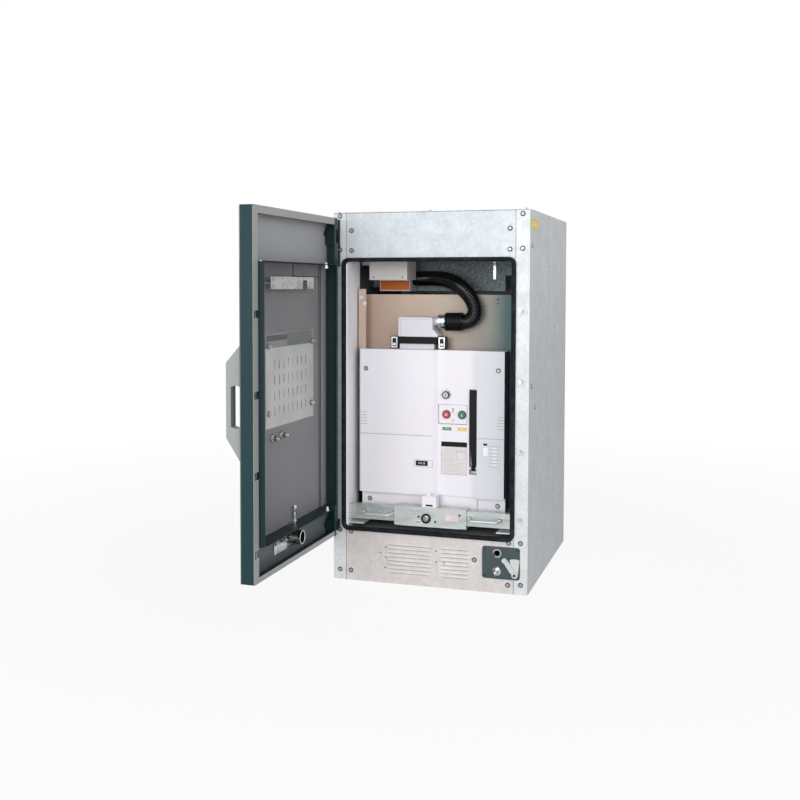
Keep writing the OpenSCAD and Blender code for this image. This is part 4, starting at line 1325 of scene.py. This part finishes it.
@dataclass
class BeamFittings:
    """What the locking beam carries: socket ring, screws, bare labels, end plate and switch box's tab."""

    face_y: float = -0.342
    socket: Place = (-0.008, 0.204)
    holes: tuple[Place, ...] = ((-0.031, 0.2077), (0.0204, 0.1956), (0.095, 0.2195))
    sticker_x: tuple[float, float] = (0.0495, 0.0912)
    sticker_z: tuple[float, float] = (0.1995, 0.2215)
    tag: tuple[float, float, float, float] = (-0.0446, -0.0192, 0.1865, 0.1985)
    end_x: tuple[float, float] = (-0.2525, -0.2345)
    end_z: tuple[float, float] = (0.197, 0.2305)
    end_y: float = -0.334

    def build(self) -> None:
        """Builds the fittings on the beam's front."""
        face = Face.front(self.face_y)
        ring = Shape().turned(face.at(*self.socket, 0.003), [
            (0.009, 0), (0.0148, 0), (0.0148, 0.0018), (0.0138, 0.0024), (0.0107, 0.0024), (0.009, 0.0008),
            (0.009, 0)], 32)
        ring.finish("socket_ring", PALETTE.gasket, Body.CABINET, "zinc_plated")
        core = Shape().turned(face.at(*self.socket, -0.003), [
            (0, 0), (0.0079, 0), (0.0079, 0.0035), (0.0062, 0.0042), (0.0045, 0.0042), (0.0045, 0.001),
            (0, 0.001)], 24)
        core.finish("socket_core", PALETTE.grey_steel, Body.CABINET, "zinc_plated")
        dark = Shape()
        for x, z in self.holes:
            dark.pan_screw(face.at(x, z), 0.0034)
        for x in (0.004, 0.0125):
            dark.card(face.at(x, 0.2125), 0.0062, 0.0011, SEAM)
        dark.finish("beam_screws", PALETTE.dark_steel, Body.CABINET, "zinc_plated")
        (x0, x1), (z0, z1) = self.sticker_x, self.sticker_z
        wide, tall = x1 - x0, z1 - z0
        middle = face.between((x0, x1), (z0, z1))
        labels = Shape().card(middle, wide, tall, 0.0003, 0.001)
        left, right, low, high = self.tag
        labels.card(face.between((left, right), (low, high)), right - left, high - low, 0.0003, 0.0008)
        labels.finish("beam_labels", PALETTE.label, Body.CABINET, "light_grey_paint")
        red = Shape().border(middle @ lifted(STICKER), wide - 0.0016, tall - 0.0016, 0.0008, INK)
        red.card(middle @ moved(-0.001, 0.0, STICKER), 0.0007, tall - 0.0032, INK)
        for level in (-0.005, 0.0, 0.005):
            red.card(middle @ moved(0.0095, level, STICKER), 0.0155, 0.0007, INK)
        red.finish("beam_label_rules", PALETTE.red_line, Body.CABINET, "light_grey_paint")
        grey = Shape()
        for level in (-0.0026, 0.0006):
            grey.card(face.at((left + right) / 2 - 0.002, (low + high) / 2 + level, STICKER),
                      0.017, 0.0012, INK)
        grey.finish("beam_tag_rules", PALETTE.print_and_shade_grey, Body.CABINET, "light_grey_paint")
        (x0, x1), (z0, z1) = self.end_x, self.end_z
        middle = Face.front(self.end_y).between((x0, x1), (z0, z1))
        plate = Shape().card(middle, x1 - x0, z1 - z0, 0.0016, 0.001)
        plate.finish("beam_end_plate", PALETTE.white_screw, Body.CABINET, "zinc_plated")
        self.switch()

    def switch(self) -> None:
        """Builds the tab and the window of the small switch box that stands on the beam."""
        low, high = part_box("position_switch_box")
        front = Face.front(low.y)
        middle = (low.x + high.x) / 2
        tab = Shape().block((middle - 0.011, low.y + 0.004, high.z),
                            (middle + 0.003, low.y + 0.007, high.z + 0.0095), 0.0012)
        tab.border(front.at(middle, (low.z + high.z) / 2 + 0.003), 0.037, 0.021, 0.001, 0.0008)
        tab.card(front.at(middle, high.z - 0.013), 0.024, 0.008, 0.0009, 0.001)
        tab.finish("switch_tab", PALETTE.white, Body.CABINET, "white_moulding")
        glass = Shape().card(front.at(middle, low.z + 0.0055), 0.0215, 0.005, 0.0005)
        glass.finish("switch_window", PALETTE.black, Body.CABINET, "black_plastic")


@dataclass
class EarthingFittings:
    """The key in the earthing lock with its bow, and the screws of the plate behind it."""

    lock: Place = (0.211, 0.067)
    lock_y: float = -0.3635
    plate_y: float = -0.3525
    inset: float = 0.008

    def build(self) -> None:
        """Builds the key, its ring and bow, and the plate's screws."""
        face = Face.front(self.lock_y)
        key = Shape().block((self.lock[0] - 0.0012, self.lock_y - 0.005, self.lock[1] - 0.004),
                            (self.lock[0] + 0.0012, self.lock_y + 0.001, self.lock[1] + 0.004))
        key.turned(face.at(*self.lock), [
            (0.0058, 0), (0.0076, 0), (0.0076, 0.0012), (0.0058, 0.0012), (0.0058, 0)])
        bow = Matrix.Translation((self.lock[0], self.lock_y - 0.0115, self.lock[1] - 0.002)) @ Axis.X.turn()
        key.turned(bow @ lifted(-0.0011), [
            (0.0032, 0), (0.0082, 0), (0.0088, 0.0006), (0.0088, 0.0016), (0.0082, 0.0022), (0.0032, 0.0022),
            (0.0032, 0)])
        key.finish("earthing_key", PALETTE.chrome, Body.CABINET, "zinc_plated")
        low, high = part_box("earthing_plate")
        plate = Face.front(self.plate_y)
        left, right, under, over = (low.x + self.inset, high.x - self.inset,
                                    low.z + self.inset, high.z - self.inset)
        screws = Shape()
        for x, z in ((left, over), (left, under), (right, over)):
            screws.pan_screw(plate.at(x, z), 0.0032)
        screws.finish("earthing_plate_screws", PALETTE.dark_steel, Body.CABINET, "zinc_plated")


# ---------------------------------------------------------------- breaker


@dataclass
class PanelMarks:
    """Screws, grooves, bare plates and indicators of the breaker's front."""

    face_y: float = -0.29
    left_y: float = -0.302
    side_y: float = -0.306
    skirt_y: float = -0.284
    screws: tuple[Point, ...] = (
        (-0.2125, -0.302, 0.646), (0.2007, -0.306, 0.6495), (-0.2054, -0.284, 0.242),
        (0.1971, -0.284, 0.2425))
    flags: tuple[tuple[str, float, float], ...] = (("green", 0.0268, 0.0564), ("yellow", 0.0736, 0.1035))
    flag_z: tuple[float, float] = (0.4637, 0.4748)
    label: tuple[float, float, float, float] = (0.0232, 0.1048, 0.33, 0.4312)
    label_head: float = 0.0148
    side_label: tuple[float, float, float, float] = (0.1517, 0.2088, 0.352, 0.436)
    counter: tuple[float, float, float, float] = (-0.0571, 0.0005, 0.3512, 0.3725)
    groove_z: tuple[float, ...] = (0.476, 0.485, 0.494, 0.503, 0.512)

    def build(self) -> None:
        """Builds every mark of the front."""
        shape, dark_rings = Shape(), Shape()
        # each screw gets a dark ring round its head as painted shadow
        for x, y, z in self.screws:
            shape.pan_screw(Face.front(y).at(x, z, 0.0005), 0.0052)
            dark_rings.shadow_ring(Face.front(y).at(x, z), 0.0074)
        shape.finish("cover_screws", PALETTE.steel, Body.BREAKER, "zinc_plated")
        dark_rings.finish("cover_screw_shadow_rings", PALETTE.seam, Body.BREAKER, "zinc_plated")
        self.grooves()
        self.indicators()
        self.front_label()
        self.side_plate()
        self.buttons()

    def grooves(self) -> None:
        """Lays the grooves of the covers, the counter's surround and figures, and the skirt latch."""
        lines = Shape()
        # dark lines in the grooves, the gap between the covers and round the counter are painted shade
        for z in self.groove_z:
            lines.card(Face.front(self.left_y).at(-0.2185, z), 0.019, 0.0012, STICKER)
            lines.card(Face.front(self.side_y).at(0.2092, z), 0.019, 0.0012, STICKER)
        lines.card(Face.front(self.left_y).at(-0.1165, 0.4465), 0.234, 0.0014, STICKER)
        lines.card(Face.front(self.side_y).at(0.1785, 0.4465), 0.08, 0.0014, STICKER)
        lines.card(Face.front(self.face_y).at(0.1362, 0.466), 0.0016, 0.474, PLATE)
        x0, x1, z0, z1 = self.counter
        lines.border(Face.front(self.left_y).between((x0, x1), (z0, z1)), x1 - x0, z1 - z0, 0.0009, 0.0006)
        lines.finish("cover_grooves", PALETTE.shadow_line, Body.BREAKER, "white_moulding")
        low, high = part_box("operation_counter")
        digits = Shape().words(Face.front(low.y).between((low.x, high.x), (low.z, high.z)), "00128", 0.0088)
        digits.finish("counter_figures", PALETTE.label, Body.BREAKER, "white_moulding")
        latch = Shape().block((0.0345, self.skirt_y - 0.003, 0.2295), (0.0425, self.skirt_y, 0.2335), 0.0008)
        latch.finish("skirt_latch", PALETTE.black, Body.BREAKER, "black_plastic")

    def indicators(self) -> None:
        """Builds the two small windows, each with its coloured flag."""
        face = Face.front(self.face_y)
        z0, z1 = self.flag_z
        bezels = Shape()
        for name, x0, x1 in self.flags:
            middle = face.between((x0, x1), (z0, z1))
            colour = PALETTE.flag_green if name == "green" else PALETTE.flag_yellow
            flag = Shape().card(middle, x1 - x0 - 0.0016, z1 - z0 - 0.0016, 0.0005)
            flag.finish(f"{name}_flag", colour, Body.BREAKER, "white_moulding")
            bezels.border(middle, x1 - x0, z1 - z0, 0.001, 0.0011)
            bezels.card(middle @ lifted(0.0005), (x1 - x0) * 0.5, 0.0016, INK)
        bezels.finish("flag_bezels", PALETTE.label, Body.BREAKER, "white_moulding")

    def front_label(self) -> None:
        """Lays the bare plate with its plain head band and ruled field."""
        x0, x1, z0, z1 = self.label
        wide, tall = x1 - x0, z1 - z0
        middle = Face.front(self.face_y).between((x0, x1), (z0, z1))
        plate = Shape().card(middle, wide, tall, 0.0004, 0.001)
        plate.finish("ruled_plate", PALETTE.label, Body.BREAKER, "light_grey_paint")
        head = Shape().card(middle @ moved(0.0, (tall - self.label_head) / 2 - 0.001, PLATE),
                            wide - 0.002, self.label_head, 0.0001)
        head.finish("ruled_plate_head", PALETTE.black, Body.BREAKER, "light_grey_paint")
        rules = Shape().border(middle @ lifted(PLATE), wide - 0.002, tall - 0.002, 0.0006, INK)
        field = middle @ lifted(PLATE)
        rows = 15
        for row in range(rows):
            level = tall / 2 - self.label_head - 0.007 - row * (tall - self.label_head - 0.012) / (rows - 1)
            short = 0.5 if 2 < row < 8 else 0.86
            shift = -0.018 if 2 < row < 8 else 0.0
            rules.card(field @ moved(shift, level), wide * short, 0.00045, INK)
        rules.border(field @ moved(0.021, 0.009), 0.028, 0.026, 0.0005, INK)
        rules.finish("ruled_plate_lines", PALETTE.pale_print, Body.BREAKER, "light_grey_paint")

    def side_plate(self) -> None:
        """Lays the bare rating plate of the right cover, with its empty boxes."""
        x0, x1, z0, z1 = self.side_label
        wide, tall = x1 - x0, z1 - z0
        middle = Face.front(self.side_y).between((x0, x1), (z0, z1))
        plate = Shape().card(middle, wide, tall, 0.0004, 0.0015)
        plate.finish("rating_plate", PALETTE.rating, Body.BREAKER, "light_grey_paint")
        face = middle @ lifted(PLATE)
        white = Shape().card(face @ moved(-wide * 0.29, tall * 0.17), 0.014, 0.024, INK)
        for row in range(6):
            white.card(face @ moved(wide * 0.2, tall * (0.3 - 0.12 * row)), 0.012 + 0.003 * (row % 2),
                       0.0035, 0.0001)
        white.finish("rating_plate_boxes", PALETTE.paper, Body.BREAKER, "light_grey_paint")
        dark = Shape().card(face @ moved(-wide * 0.3, tall * 0.42), 0.012, 0.0065, INK)
        for row in range(7):
            dark.card(face @ moved(wide * 0.16, tall * (0.36 - 0.12 * row)), wide * 0.52, 0.0005, INK)
        dark.finish("rating_plate_rules", PALETTE.print_and_shade_grey, Body.BREAKER, "light_grey_paint")

    def buttons(self) -> None:
        """Builds the button plate's border and marks, the buttons' plain signs, and the key lock's marks."""
        low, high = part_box("button_plate")
        centre_x, centre_z = (low.x + high.x) / 2, (low.z + high.z) / 2
        plate = Face.front(low.y)
        # the border round the plate and the rings round the buttons are painted shade
        edge = Shape().border(plate.at(centre_x, centre_z), high.x - low.x, high.z - low.z, 0.001, 0.0005)
        for name in ("off_button", "on_button"):
            small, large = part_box(name)
            edge.turned(plate.between((small.x, large.x), (small.z, large.z)), [
                (0.0122, 0), (0.0138, 0), (0.0136, 0.0014), (0.0126, 0.0014), (0.0122, 0)], 28)
        edge.finish("button_surrounds", PALETTE.shadow_line, Body.BREAKER, "white_moulding")
        # the strips along the plate's bottom and left edges are painted shadow
        dark = Shape().card(plate.at(centre_x, low.z + 0.0007), high.x - low.x, 0.0012, 0.0006)
        dark.card(plate.at(low.x + 0.0007, centre_z), 0.0012, high.z - low.z, 0.0006)
        for side in (-1, 1):
            dark.card(plate.at(centre_x + side * 0.002, high.z - 0.02), 0.0013, 0.008, STICKER)
        dark.finish("button_plate_edges", PALETTE.print_and_shade_grey, Body.BREAKER, "white_moulding")
        signs = Shape().card(plate.at(centre_x + 0.001, high.z - 0.013), 0.0055, 0.0045, STICKER)
        for side in (-1, 1):
            signs.card(plate.at(centre_x + side * 0.003, low.z + 0.012), 0.0012, 0.011, STICKER)
        signs.finish("button_plate_marks", PALETTE.olive, Body.BREAKER, "white_moulding")
        for name, body in (("off_button", Body.OFF_PUSH), ("on_button", Body.ON_PUSH)):
            small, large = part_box(name)
            crown = Face.front(small.y).between((small.x, large.x), (small.z, large.z))
            sign = Shape()
            if body is Body.ON_PUSH:
                sign.card(crown, 0.0016, 0.0085, SEAM)
            else:
                sign.turned(crown, [
                    (0.0028, 0), (0.0042, 0), (0.0042, SEAM), (0.0028, SEAM), (0.0028, 0)])
            sign.finish(f"{name}_sign", PALETTE.paper, body, "white_moulding")
        low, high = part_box("key_lock")
        lock = Face.front(low.y).between((low.x, high.x), (low.z, high.z))
        slot = Shape().card(lock, 0.0018, 0.0085, SEAM)
        slot.turned(lock, [(0.0084, 0), (0.0112, 0), (0.0112, 0.0003), (0.0084, 0.0003), (0.0084, 0)])
        slot.finish("key_slot", PALETTE.black, Body.BREAKER, "black_plastic")
        marks = Shape()
        back = Face.front(self.face_y).between((low.x, high.x), (low.z, high.z))
        for turn in (0.0, 45.0, 90.0, -45.0, -90.0):
            marks.card(back @ Matrix.Rotation(math.radians(turn), 4, "Z") @ moved(0.0, 0.0165),
                       0.0012, 0.0032, 0.0002)
        marks.finish("key_lock_marks", PALETTE.print_and_shade_grey, Body.BREAKER, "light_grey_paint")


@dataclass
class PlugFittings:
    """Bright end plates, screws, seams and ribs of the control plug and its latch."""

    ends: tuple[tuple[float, float], ...] = ((-0.1465, -0.1275), (0.0045, 0.0235))
    end_z: tuple[float, float] = (0.709, 0.742)
    end_y: float = -0.251

    def build(self) -> None:
        """Builds the plates, the screws, the seams and the ribs."""
        z0, z1 = self.end_z
        plates, dots = Shape(), Shape()
        for x0, x1 in self.ends:
            middle = Face.front(self.end_y).between((x0, x1), (z0, z1))
            plates.border(middle, x1 - x0, z1 - z0, 0.0035, 0.0016)
            plates.pan_screw(middle @ moved(0.0, -0.006), 0.0035, 0.0048)
            # the dark slot in each end plate is painted shade
            dots.card(middle @ moved(0.0, 0.0085), 0.007, 0.005, 0.0012)
        plates.finish("latch_end_plates", PALETTE.bracket, Body.BREAKER, "zinc_plated")
        dots.finish("latch_end_slots", PALETTE.seam, Body.BREAKER, "zinc_plated")
        low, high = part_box("plug_housing")
        face = Face.front(low.y)
        # dark lines in the plug's seams are painted shade
        seams = Shape()
        middle = (low.x + high.x) / 2 - 0.008
        seams.card(face.at(middle, high.z - 0.006), (high.x - low.x) * 0.8, 0.0007, SEAM)
        seams.card(face.at(low.x + 0.007, high.z - 0.03), 0.0007, 0.046, SEAM)
        seams.finish("plug_seams", PALETTE.shadow_line, Body.BREAKER, "white_moulding")
        strip = Shape()
        low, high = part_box("plug_latch")
        for step in range(11):
            strip.card(Face.front(low.y).at(-0.116 + step * 0.0108, 0.733), 0.005, 0.014, 0.0014, 0.001)
        strip.finish("latch_ribs", PALETTE.black, Body.BREAKER, "black_plastic")


# ---------------------------------------------------------------- door


@dataclass
class DoorInnerFrame:
    """The standing frame inside the door, its pale foot and the covers of the hinge pockets."""

    skin_x: float = -0.307
    lip_x: float = -0.259
    free_x: float = -0.2555
    notch_x: float = -0.2712
    hinge_x: float = -0.2756
    free_y: float = -0.954
    hinge_y: float = -0.4
    low: float = 0.238
    high: float = 0.962
    sheet: float = 0.002
    foot: float = 0.04
    lip_y: Place = (-0.93, -0.442)
    step_y: float = -0.412
    pockets: tuple[float, ...] = (0.17, 1.047)

    def bar(self) -> list[Point]:
        """Works out the outline of the top and the bottom bar, stepped back where it crosses the gasket.

        Returns:
            The corners.
        """
        far, near = self.lip_y
        steps = ((self.free_y, self.notch_x), (far, self.notch_x), (far, self.lip_x), (near, self.lip_x),
                 (near, self.notch_x), (self.step_y, self.notch_x), (self.step_y, self.hinge_x),
                 (self.hinge_y, self.hinge_x))
        return [(self.skin_x, self.free_y), *((x, y) for y, x in steps)][::-1] + [(self.skin_x, self.hinge_y)]

    def build(self) -> None:
        """Builds the frame, its foot, the dark lines beside it and the pocket covers."""
        shape = Shape()
        for level in (self.low, self.high - self.sheet):
            shape.prism(Face.top(level).at(0.0, 0.0), self.bar()[::-1], self.sheet)
        inside_low, inside_high = self.low + self.sheet, self.high - self.sheet
        free, hinge = self.free_y + self.sheet, self.hinge_y - self.sheet
        for (x0, y0), (x1, y1) in (((self.skin_x, self.free_y), (self.notch_x, free)),
                                   ((self.notch_x, self.free_y), (self.free_x, free)),
                                   ((self.skin_x, hinge), (self.hinge_x, self.hinge_y))):
            shape.block((x0, y0, inside_low), (x1, y1, inside_high))
        for z in self.pockets:
            shape.block((self.skin_x, -0.4052, z - 0.026), (-0.2735, -0.404, z + 0.026))
        frame_piece = shape.finish("door_inner_frame", PALETTE.frame_paint, Body.DOOR, "dark_door_paint")
        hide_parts("door_frame")
        pale = Shape().block((self.skin_x, self.hinge_y - self.foot, inside_low),
                             (self.skin_x + self.sheet, hinge, inside_high), 0.0003)
        pale.finish("door_frame_foot", PALETTE.skin_light, Body.DOOR, "dark_door_paint")
        skin = Face.right_side(self.skin_x)
        lines = Shape()
        middle, tall = (self.low + self.high) / 2, inside_high - inside_low
        for back, wide in ((0.0022, 0.0044), (0.0145, 0.0055)):
            lines.card(skin.at(self.hinge_y - self.foot - back, middle), wide, tall, PLATE)
        lines.finish("door_foot_lines", PALETTE.frame_paint, Body.DOOR, "dark_door_paint")


@dataclass
class DoorFittings:
    """Screws, studs, window parts with their painted reflection, and thin plates on the inside of the door, and
    the painted shade in the port's bore.
    """

    skin_x: float = -0.307
    bar_rise: float = 0.003
    pane_x: float = -0.302
    screen_screws: tuple[Place, ...] = ((-0.821, 0.7395), (-0.519, 0.7395), (-0.821, 0.5603), (-0.523, 0.561))
    clusters: tuple[Place, ...] = ((-0.79, 0.492), (-0.731, 0.494))
    frame_studs: tuple[tuple[float, float, float, float], ...] = (
        (-0.2712, -0.94, 0.954, 0.75), (-0.266, -0.501, 0.949, 1.35), (-0.266, -0.492, 0.24, 1.0))
    # the two window parts are painted reflection in the glass
    dark_reflection: tuple[float, float, float, float] = (-0.826, -0.69, 0.7525, 0.767)
    grey_reflection: tuple[float, float, float, float] = (-0.69, -0.512, 0.735, 0.7715)
    wall_screws: tuple[Place, ...] = ((-0.29, 1.041), (-0.29, 0.142 + 0.0322))
    wall_y: float = -0.39
    port_centre: Place = (-0.678, 0.204)
    port_screws: tuple[Place, ...] = ((-0.7735, 0.2065), (-0.7105, 0.2015))
    foot: tuple[float, float, float, float] = (-0.648, -0.45, 0.925, 0.9575)

    def build(self) -> None:
        """Builds the screws, the studs, the window's parts of painted reflection, the slotted sheet and the
        rivets.
        """
        skin = Face.right_side(self.skin_x)
        knobs, dark_rings, bright = Shape(), Shape(), Shape()
        # dark rings round the bolts are painted shadow; the middle nut of each cluster is also dark
        for y, z in self.screen_screws:
            place = Face.right_side(self.pane_x).at(y, z)
            dark_rings.shadow_ring(place, 0.0082)
            knobs.hex_bolt(place @ lifted(0.0005), 0.005, 0.0062, 0.009)
        for y, z in self.clusters:
            dark_rings.shadow_ring(skin.at(y, z), 0.0125)
            knobs.hex_bolt(skin.at(y, z, 0.0005), 0.0078, 0.0095, 0.02)
            dark_rings.hex_bolt(skin.at(y + 0.0005, z, 0.0085), 0.0056, 0.0084)
            knobs.hex_bolt(skin.at(y + 0.0005, z, 0.0122), 0.0048, 0.0058)
        for y, z in self.port_screws:
            dark_rings.shadow_ring(Face.right_side(self.skin_x + self.bar_rise).at(y, z), 0.007)
            knobs.hex_bolt(Face.right_side(self.skin_x + self.bar_rise).at(y, z, 0.0005), 0.0042, 0.0055, 0.0072)
        for x, z in self.wall_screws:
            bright.pan_screw(Face.front(self.wall_y).at(x, z), 0.0048, 0.0062)
        for x, y, z, scale in self.frame_studs:
            bright.turned(Face.top(z).at(x, y) @ Matrix.Diagonal((scale, scale, scale, 1.0)), [
                (0, 0), (0.0048, 0), (0.0048, 0.004), (0.0034, 0.0045), (0.0034, 0.0105), (0.0026, 0.012),
                (0, 0.012)], 16)
        knobs.finish("door_bolts", PALETTE.nut, Body.DOOR, "zinc_plated")
        dark_rings.finish("door_bolt_dark_rings", PALETTE.seam, Body.DOOR, "zinc_plated")
        bright.finish("door_studs", PALETTE.white_screw, Body.DOOR, "zinc_plated")
        y0, y1, z0, z1 = self.foot
        outline = Shape().card(skin.at((y0 + y1) / 2, z0), y1 - y0, 0.0022, 0.0005)
        outline.card(skin.at(y0, (z0 + z1) / 2), 0.005, z1 - z0, 0.0005)
        outline.finish("frame_top_foot", PALETTE.frame_paint, Body.DOOR, "dark_door_paint")
        # the dark and grey parts of the window are painted reflection in the glass
        for name, colour, (y0, y1, z0, z1) in (("window_reflection_dark_part", PALETTE.reflection_dark, self.dark_reflection),
                                               ("window_reflection_grey_part", PALETTE.reflection_grey, self.grey_reflection)):
            part = Shape().card(skin.between((y0, y1), (z0, z1)), y1 - y0, z1 - z0, 0.0005)
            part.finish(name, colour, Body.DOOR, "clear_pane")
        self.port()
        low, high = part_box("slotted_screen")
        sheet = Shape().block(low, high, 0.0004)
        sheet = sheet.finish("screen_plate", PALETTE.screen, Body.DOOR, "screen_sheet")
        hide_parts("slotted_screen")
        low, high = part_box("document_bracket")
        rivets = Shape()
        for z in (0.8985, 0.9145):
            rivets.pan_screw(Face.right_side(high.x).at(low.y + 0.0085, z), 0.0036)
        rivets.finish("bracket_rivets", PALETTE.steel, Body.DOOR, "zinc_plated")

    def port(self) -> None:
        """Darkens the racking port's bore with painted shade, lays a painted highlight ring on its rim and lays
        the bare pale plate beside it.
        """
        low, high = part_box("racking_port")
        tube = Face.right_side(high.x)
        across, along = self.port_centre
        # the black lining of the bore is painted shade
        bore_shade = Shape().turned(tube.at(across, along, -0.036), [
            (0.0148, 0), (0.0158, 0), (0.0158, 0.0355), (0.0148, 0.0355), (0.0148, 0)], 32)
        bore_shade.finish("port_bore_shade", PALETTE.black, Body.DOOR, "zinc_plated")
        # the pale ring at the mouth is a painted highlight on the rim
        rim = Shape().turned(tube.at(across, along, -0.0004), [
            (0.0164, 0), (0.0193, 0), (0.0196, 0.0006), (0.0186, 0.0014), (0.017, 0.0014), (0.0164, 0)], 32)
        rim.finish("port_rim", PALETTE.white_screw, Body.DOOR, "zinc_plated")
        middle = Face.right_side(self.skin_x + self.bar_rise).at(low.y + 0.044, low.z + 0.0125)
        plate = Shape().card(middle, 0.086, 0.024, PLATE)
        plate.finish("port_plate", PALETTE.bracket, Body.DOOR, "zinc_plated")


# ---------------------------------------------------------------- stage


@dataclass
class Stage:
    """The floor, the lights, the world and the camera."""

    eye: Point = (0.84879, -3.37371, 0.90118)
    yaw: float = 0.3162
    pitch: float = 0.0483
    roll: float = 0.0015
    lens: float = 47.796
    film: float = 36.0
    shift: Place = (0.0207, -0.0795)
    sight: Place = (0.05, 60.0)
    aim: Point = (0.0, -0.2, 0.6)
    lamps: tuple[tuple[str, Point, float, float], ...] = (
        ("key", (0.3, -8.0, 3.0), 5.0, 262.0), ("fill", (5.2, -4.2, 2.2), 4.0, 128.0),
        ("low", (-0.6, -7.5, 0.9), 4.0, 160.0))
    ambient: float = 0.3
    whiteness: float = 0.9
    shadow_reach: tuple[float, float] = (0.9, 3.2)

    def camera(self) -> None:
        """Stands the camera and makes it the scene's own."""
        data = bpy.data.cameras.new("camera")
        data.lens = self.lens
        data.sensor_width = self.film
        data.shift_x, data.shift_y = self.shift
        data.clip_start, data.clip_end = self.sight
        eye = bpy.data.objects.new("camera", data)
        turn = Matrix.Rotation(self.yaw, 4, "Z") @ Matrix.Rotation(math.pi / 2 - self.pitch, 4, "X")
        eye.matrix_world = Matrix.Translation(self.eye) @ turn @ Matrix.Rotation(self.roll, 4, "Z")
        bpy.context.scene.collection.objects.link(eye)
        bpy.context.scene.camera = eye

    def floor(self) -> None:
        """Lays a wide pale floor that shows white to the camera and keeps the shadow."""
        bm = bmesh.new()
        bmesh.ops.create_grid(bm, x_segments=1, y_segments=1, size=40.0)
        mesh = bpy.data.meshes.new("studio_floor")
        bm.to_mesh(mesh)
        bm.free()
        shade = Shade("studio_floor")
        shade.set(base_color=(0.82, 0.82, 0.82, 1.0), roughness=0.9)
        rays = shade.node("LightPath")
        glow = shade.node("Emission")
        glow.inputs["Color"].default_value = (1.0, 1.0, 1.0, 1.0)
        away = shade.node("VectorMath", operation="LENGTH")
        shade.join(shade.place(), away.inputs[0])
        white = shade.span(away.outputs["Value"], *self.shadow_reach, self.whiteness, 1.0)
        seen = shade.maths("MAXIMUM", rays.outputs["Is Camera Ray"], rays.outputs["Is Transmission Ray"])
        mixed = shade.node("MixShader")
        shade.join(shade.maths("MULTIPLY", seen, white), mixed.inputs["Fac"])
        shade.join(shade.shader.outputs[0], mixed.inputs[1])
        shade.join(glow.outputs[0], mixed.inputs[2])
        shade.join(mixed.outputs[0], shade.tree.nodes["Material Output"].inputs["Surface"])
        mesh.materials.append(shade.material)
        ground = bpy.data.objects.new("studio_floor", mesh)
        bpy.context.scene.collection.objects.link(ground)

    def world(self) -> None:
        """Fills the air with a soft pale light and shows white behind the object."""
        world = bpy.data.worlds.new("studio")
        bpy.context.scene.world = world
        world.use_nodes = True
        tree = world.node_tree
        air = tree.nodes["Background"]
        air.inputs["Color"].default_value = (0.93, 0.96, 1.0, 1.0)
        air.inputs["Strength"].default_value = self.ambient
        white, rays, seen, shown, mixed = (tree.nodes.new(f"ShaderNode{kind}") for kind in (
            "Background", "LightPath", "Math", "Math", "MixShader"))
        white.inputs["Color"].default_value = (1.0, 1.0, 1.0, 1.0)
        seen.operation = shown.operation = "MAXIMUM"
        for start, end in (
                (rays.outputs["Is Camera Ray"], seen.inputs[0]),
                (rays.outputs["Is Glossy Ray"], seen.inputs[1]),
                (seen.outputs[0], shown.inputs[0]),
                (rays.outputs["Is Transmission Ray"], shown.inputs[1]),
                (shown.outputs[0], mixed.inputs["Fac"]),
                (air.outputs[0], mixed.inputs[1]),
                (white.outputs[0], mixed.inputs[2]),
                (mixed.outputs[0], tree.nodes["World Output"].inputs["Surface"])):
            tree.links.new(start, end)

    def lights(self) -> None:
        """Hangs the soft lamps, all facing the middle of the cabinet."""
        for name, place, size, power in self.lamps:
            data = bpy.data.lights.new(name, "AREA")
            data.size = size
            data.energy = power
            lamp = bpy.data.objects.new(name, data)
            turn = (Vector(self.aim) - Vector(place)).to_track_quat("-Z", "Y").to_matrix().to_4x4()
            lamp.matrix_world = Matrix.Translation(place) @ turn
            bpy.context.scene.collection.objects.link(lamp)

    def build(self) -> None:
        """Builds the stage."""
        self.camera()
        self.floor()
        self.world()
        self.lights()
        bpy.context.scene.view_settings.view_transform = "Standard"


def main() -> None:
    """Builds the stage, the cord, the finishes and every added piece, in that order."""
    logging.basicConfig(level=logging.INFO, format="%(name)s: %(message)s")
    Stage().build()
    ControlHose().build()
    dress_nodes()
    for assembly in (PanelFixings(), Gasket(), UpperFittings(), BeamFittings(), EarthingFittings(),
                     PanelMarks(), PlugFittings(), DoorInnerFrame(), DoorFittings()):
        assembly.build()


if __name__ == "__main__":
    main()
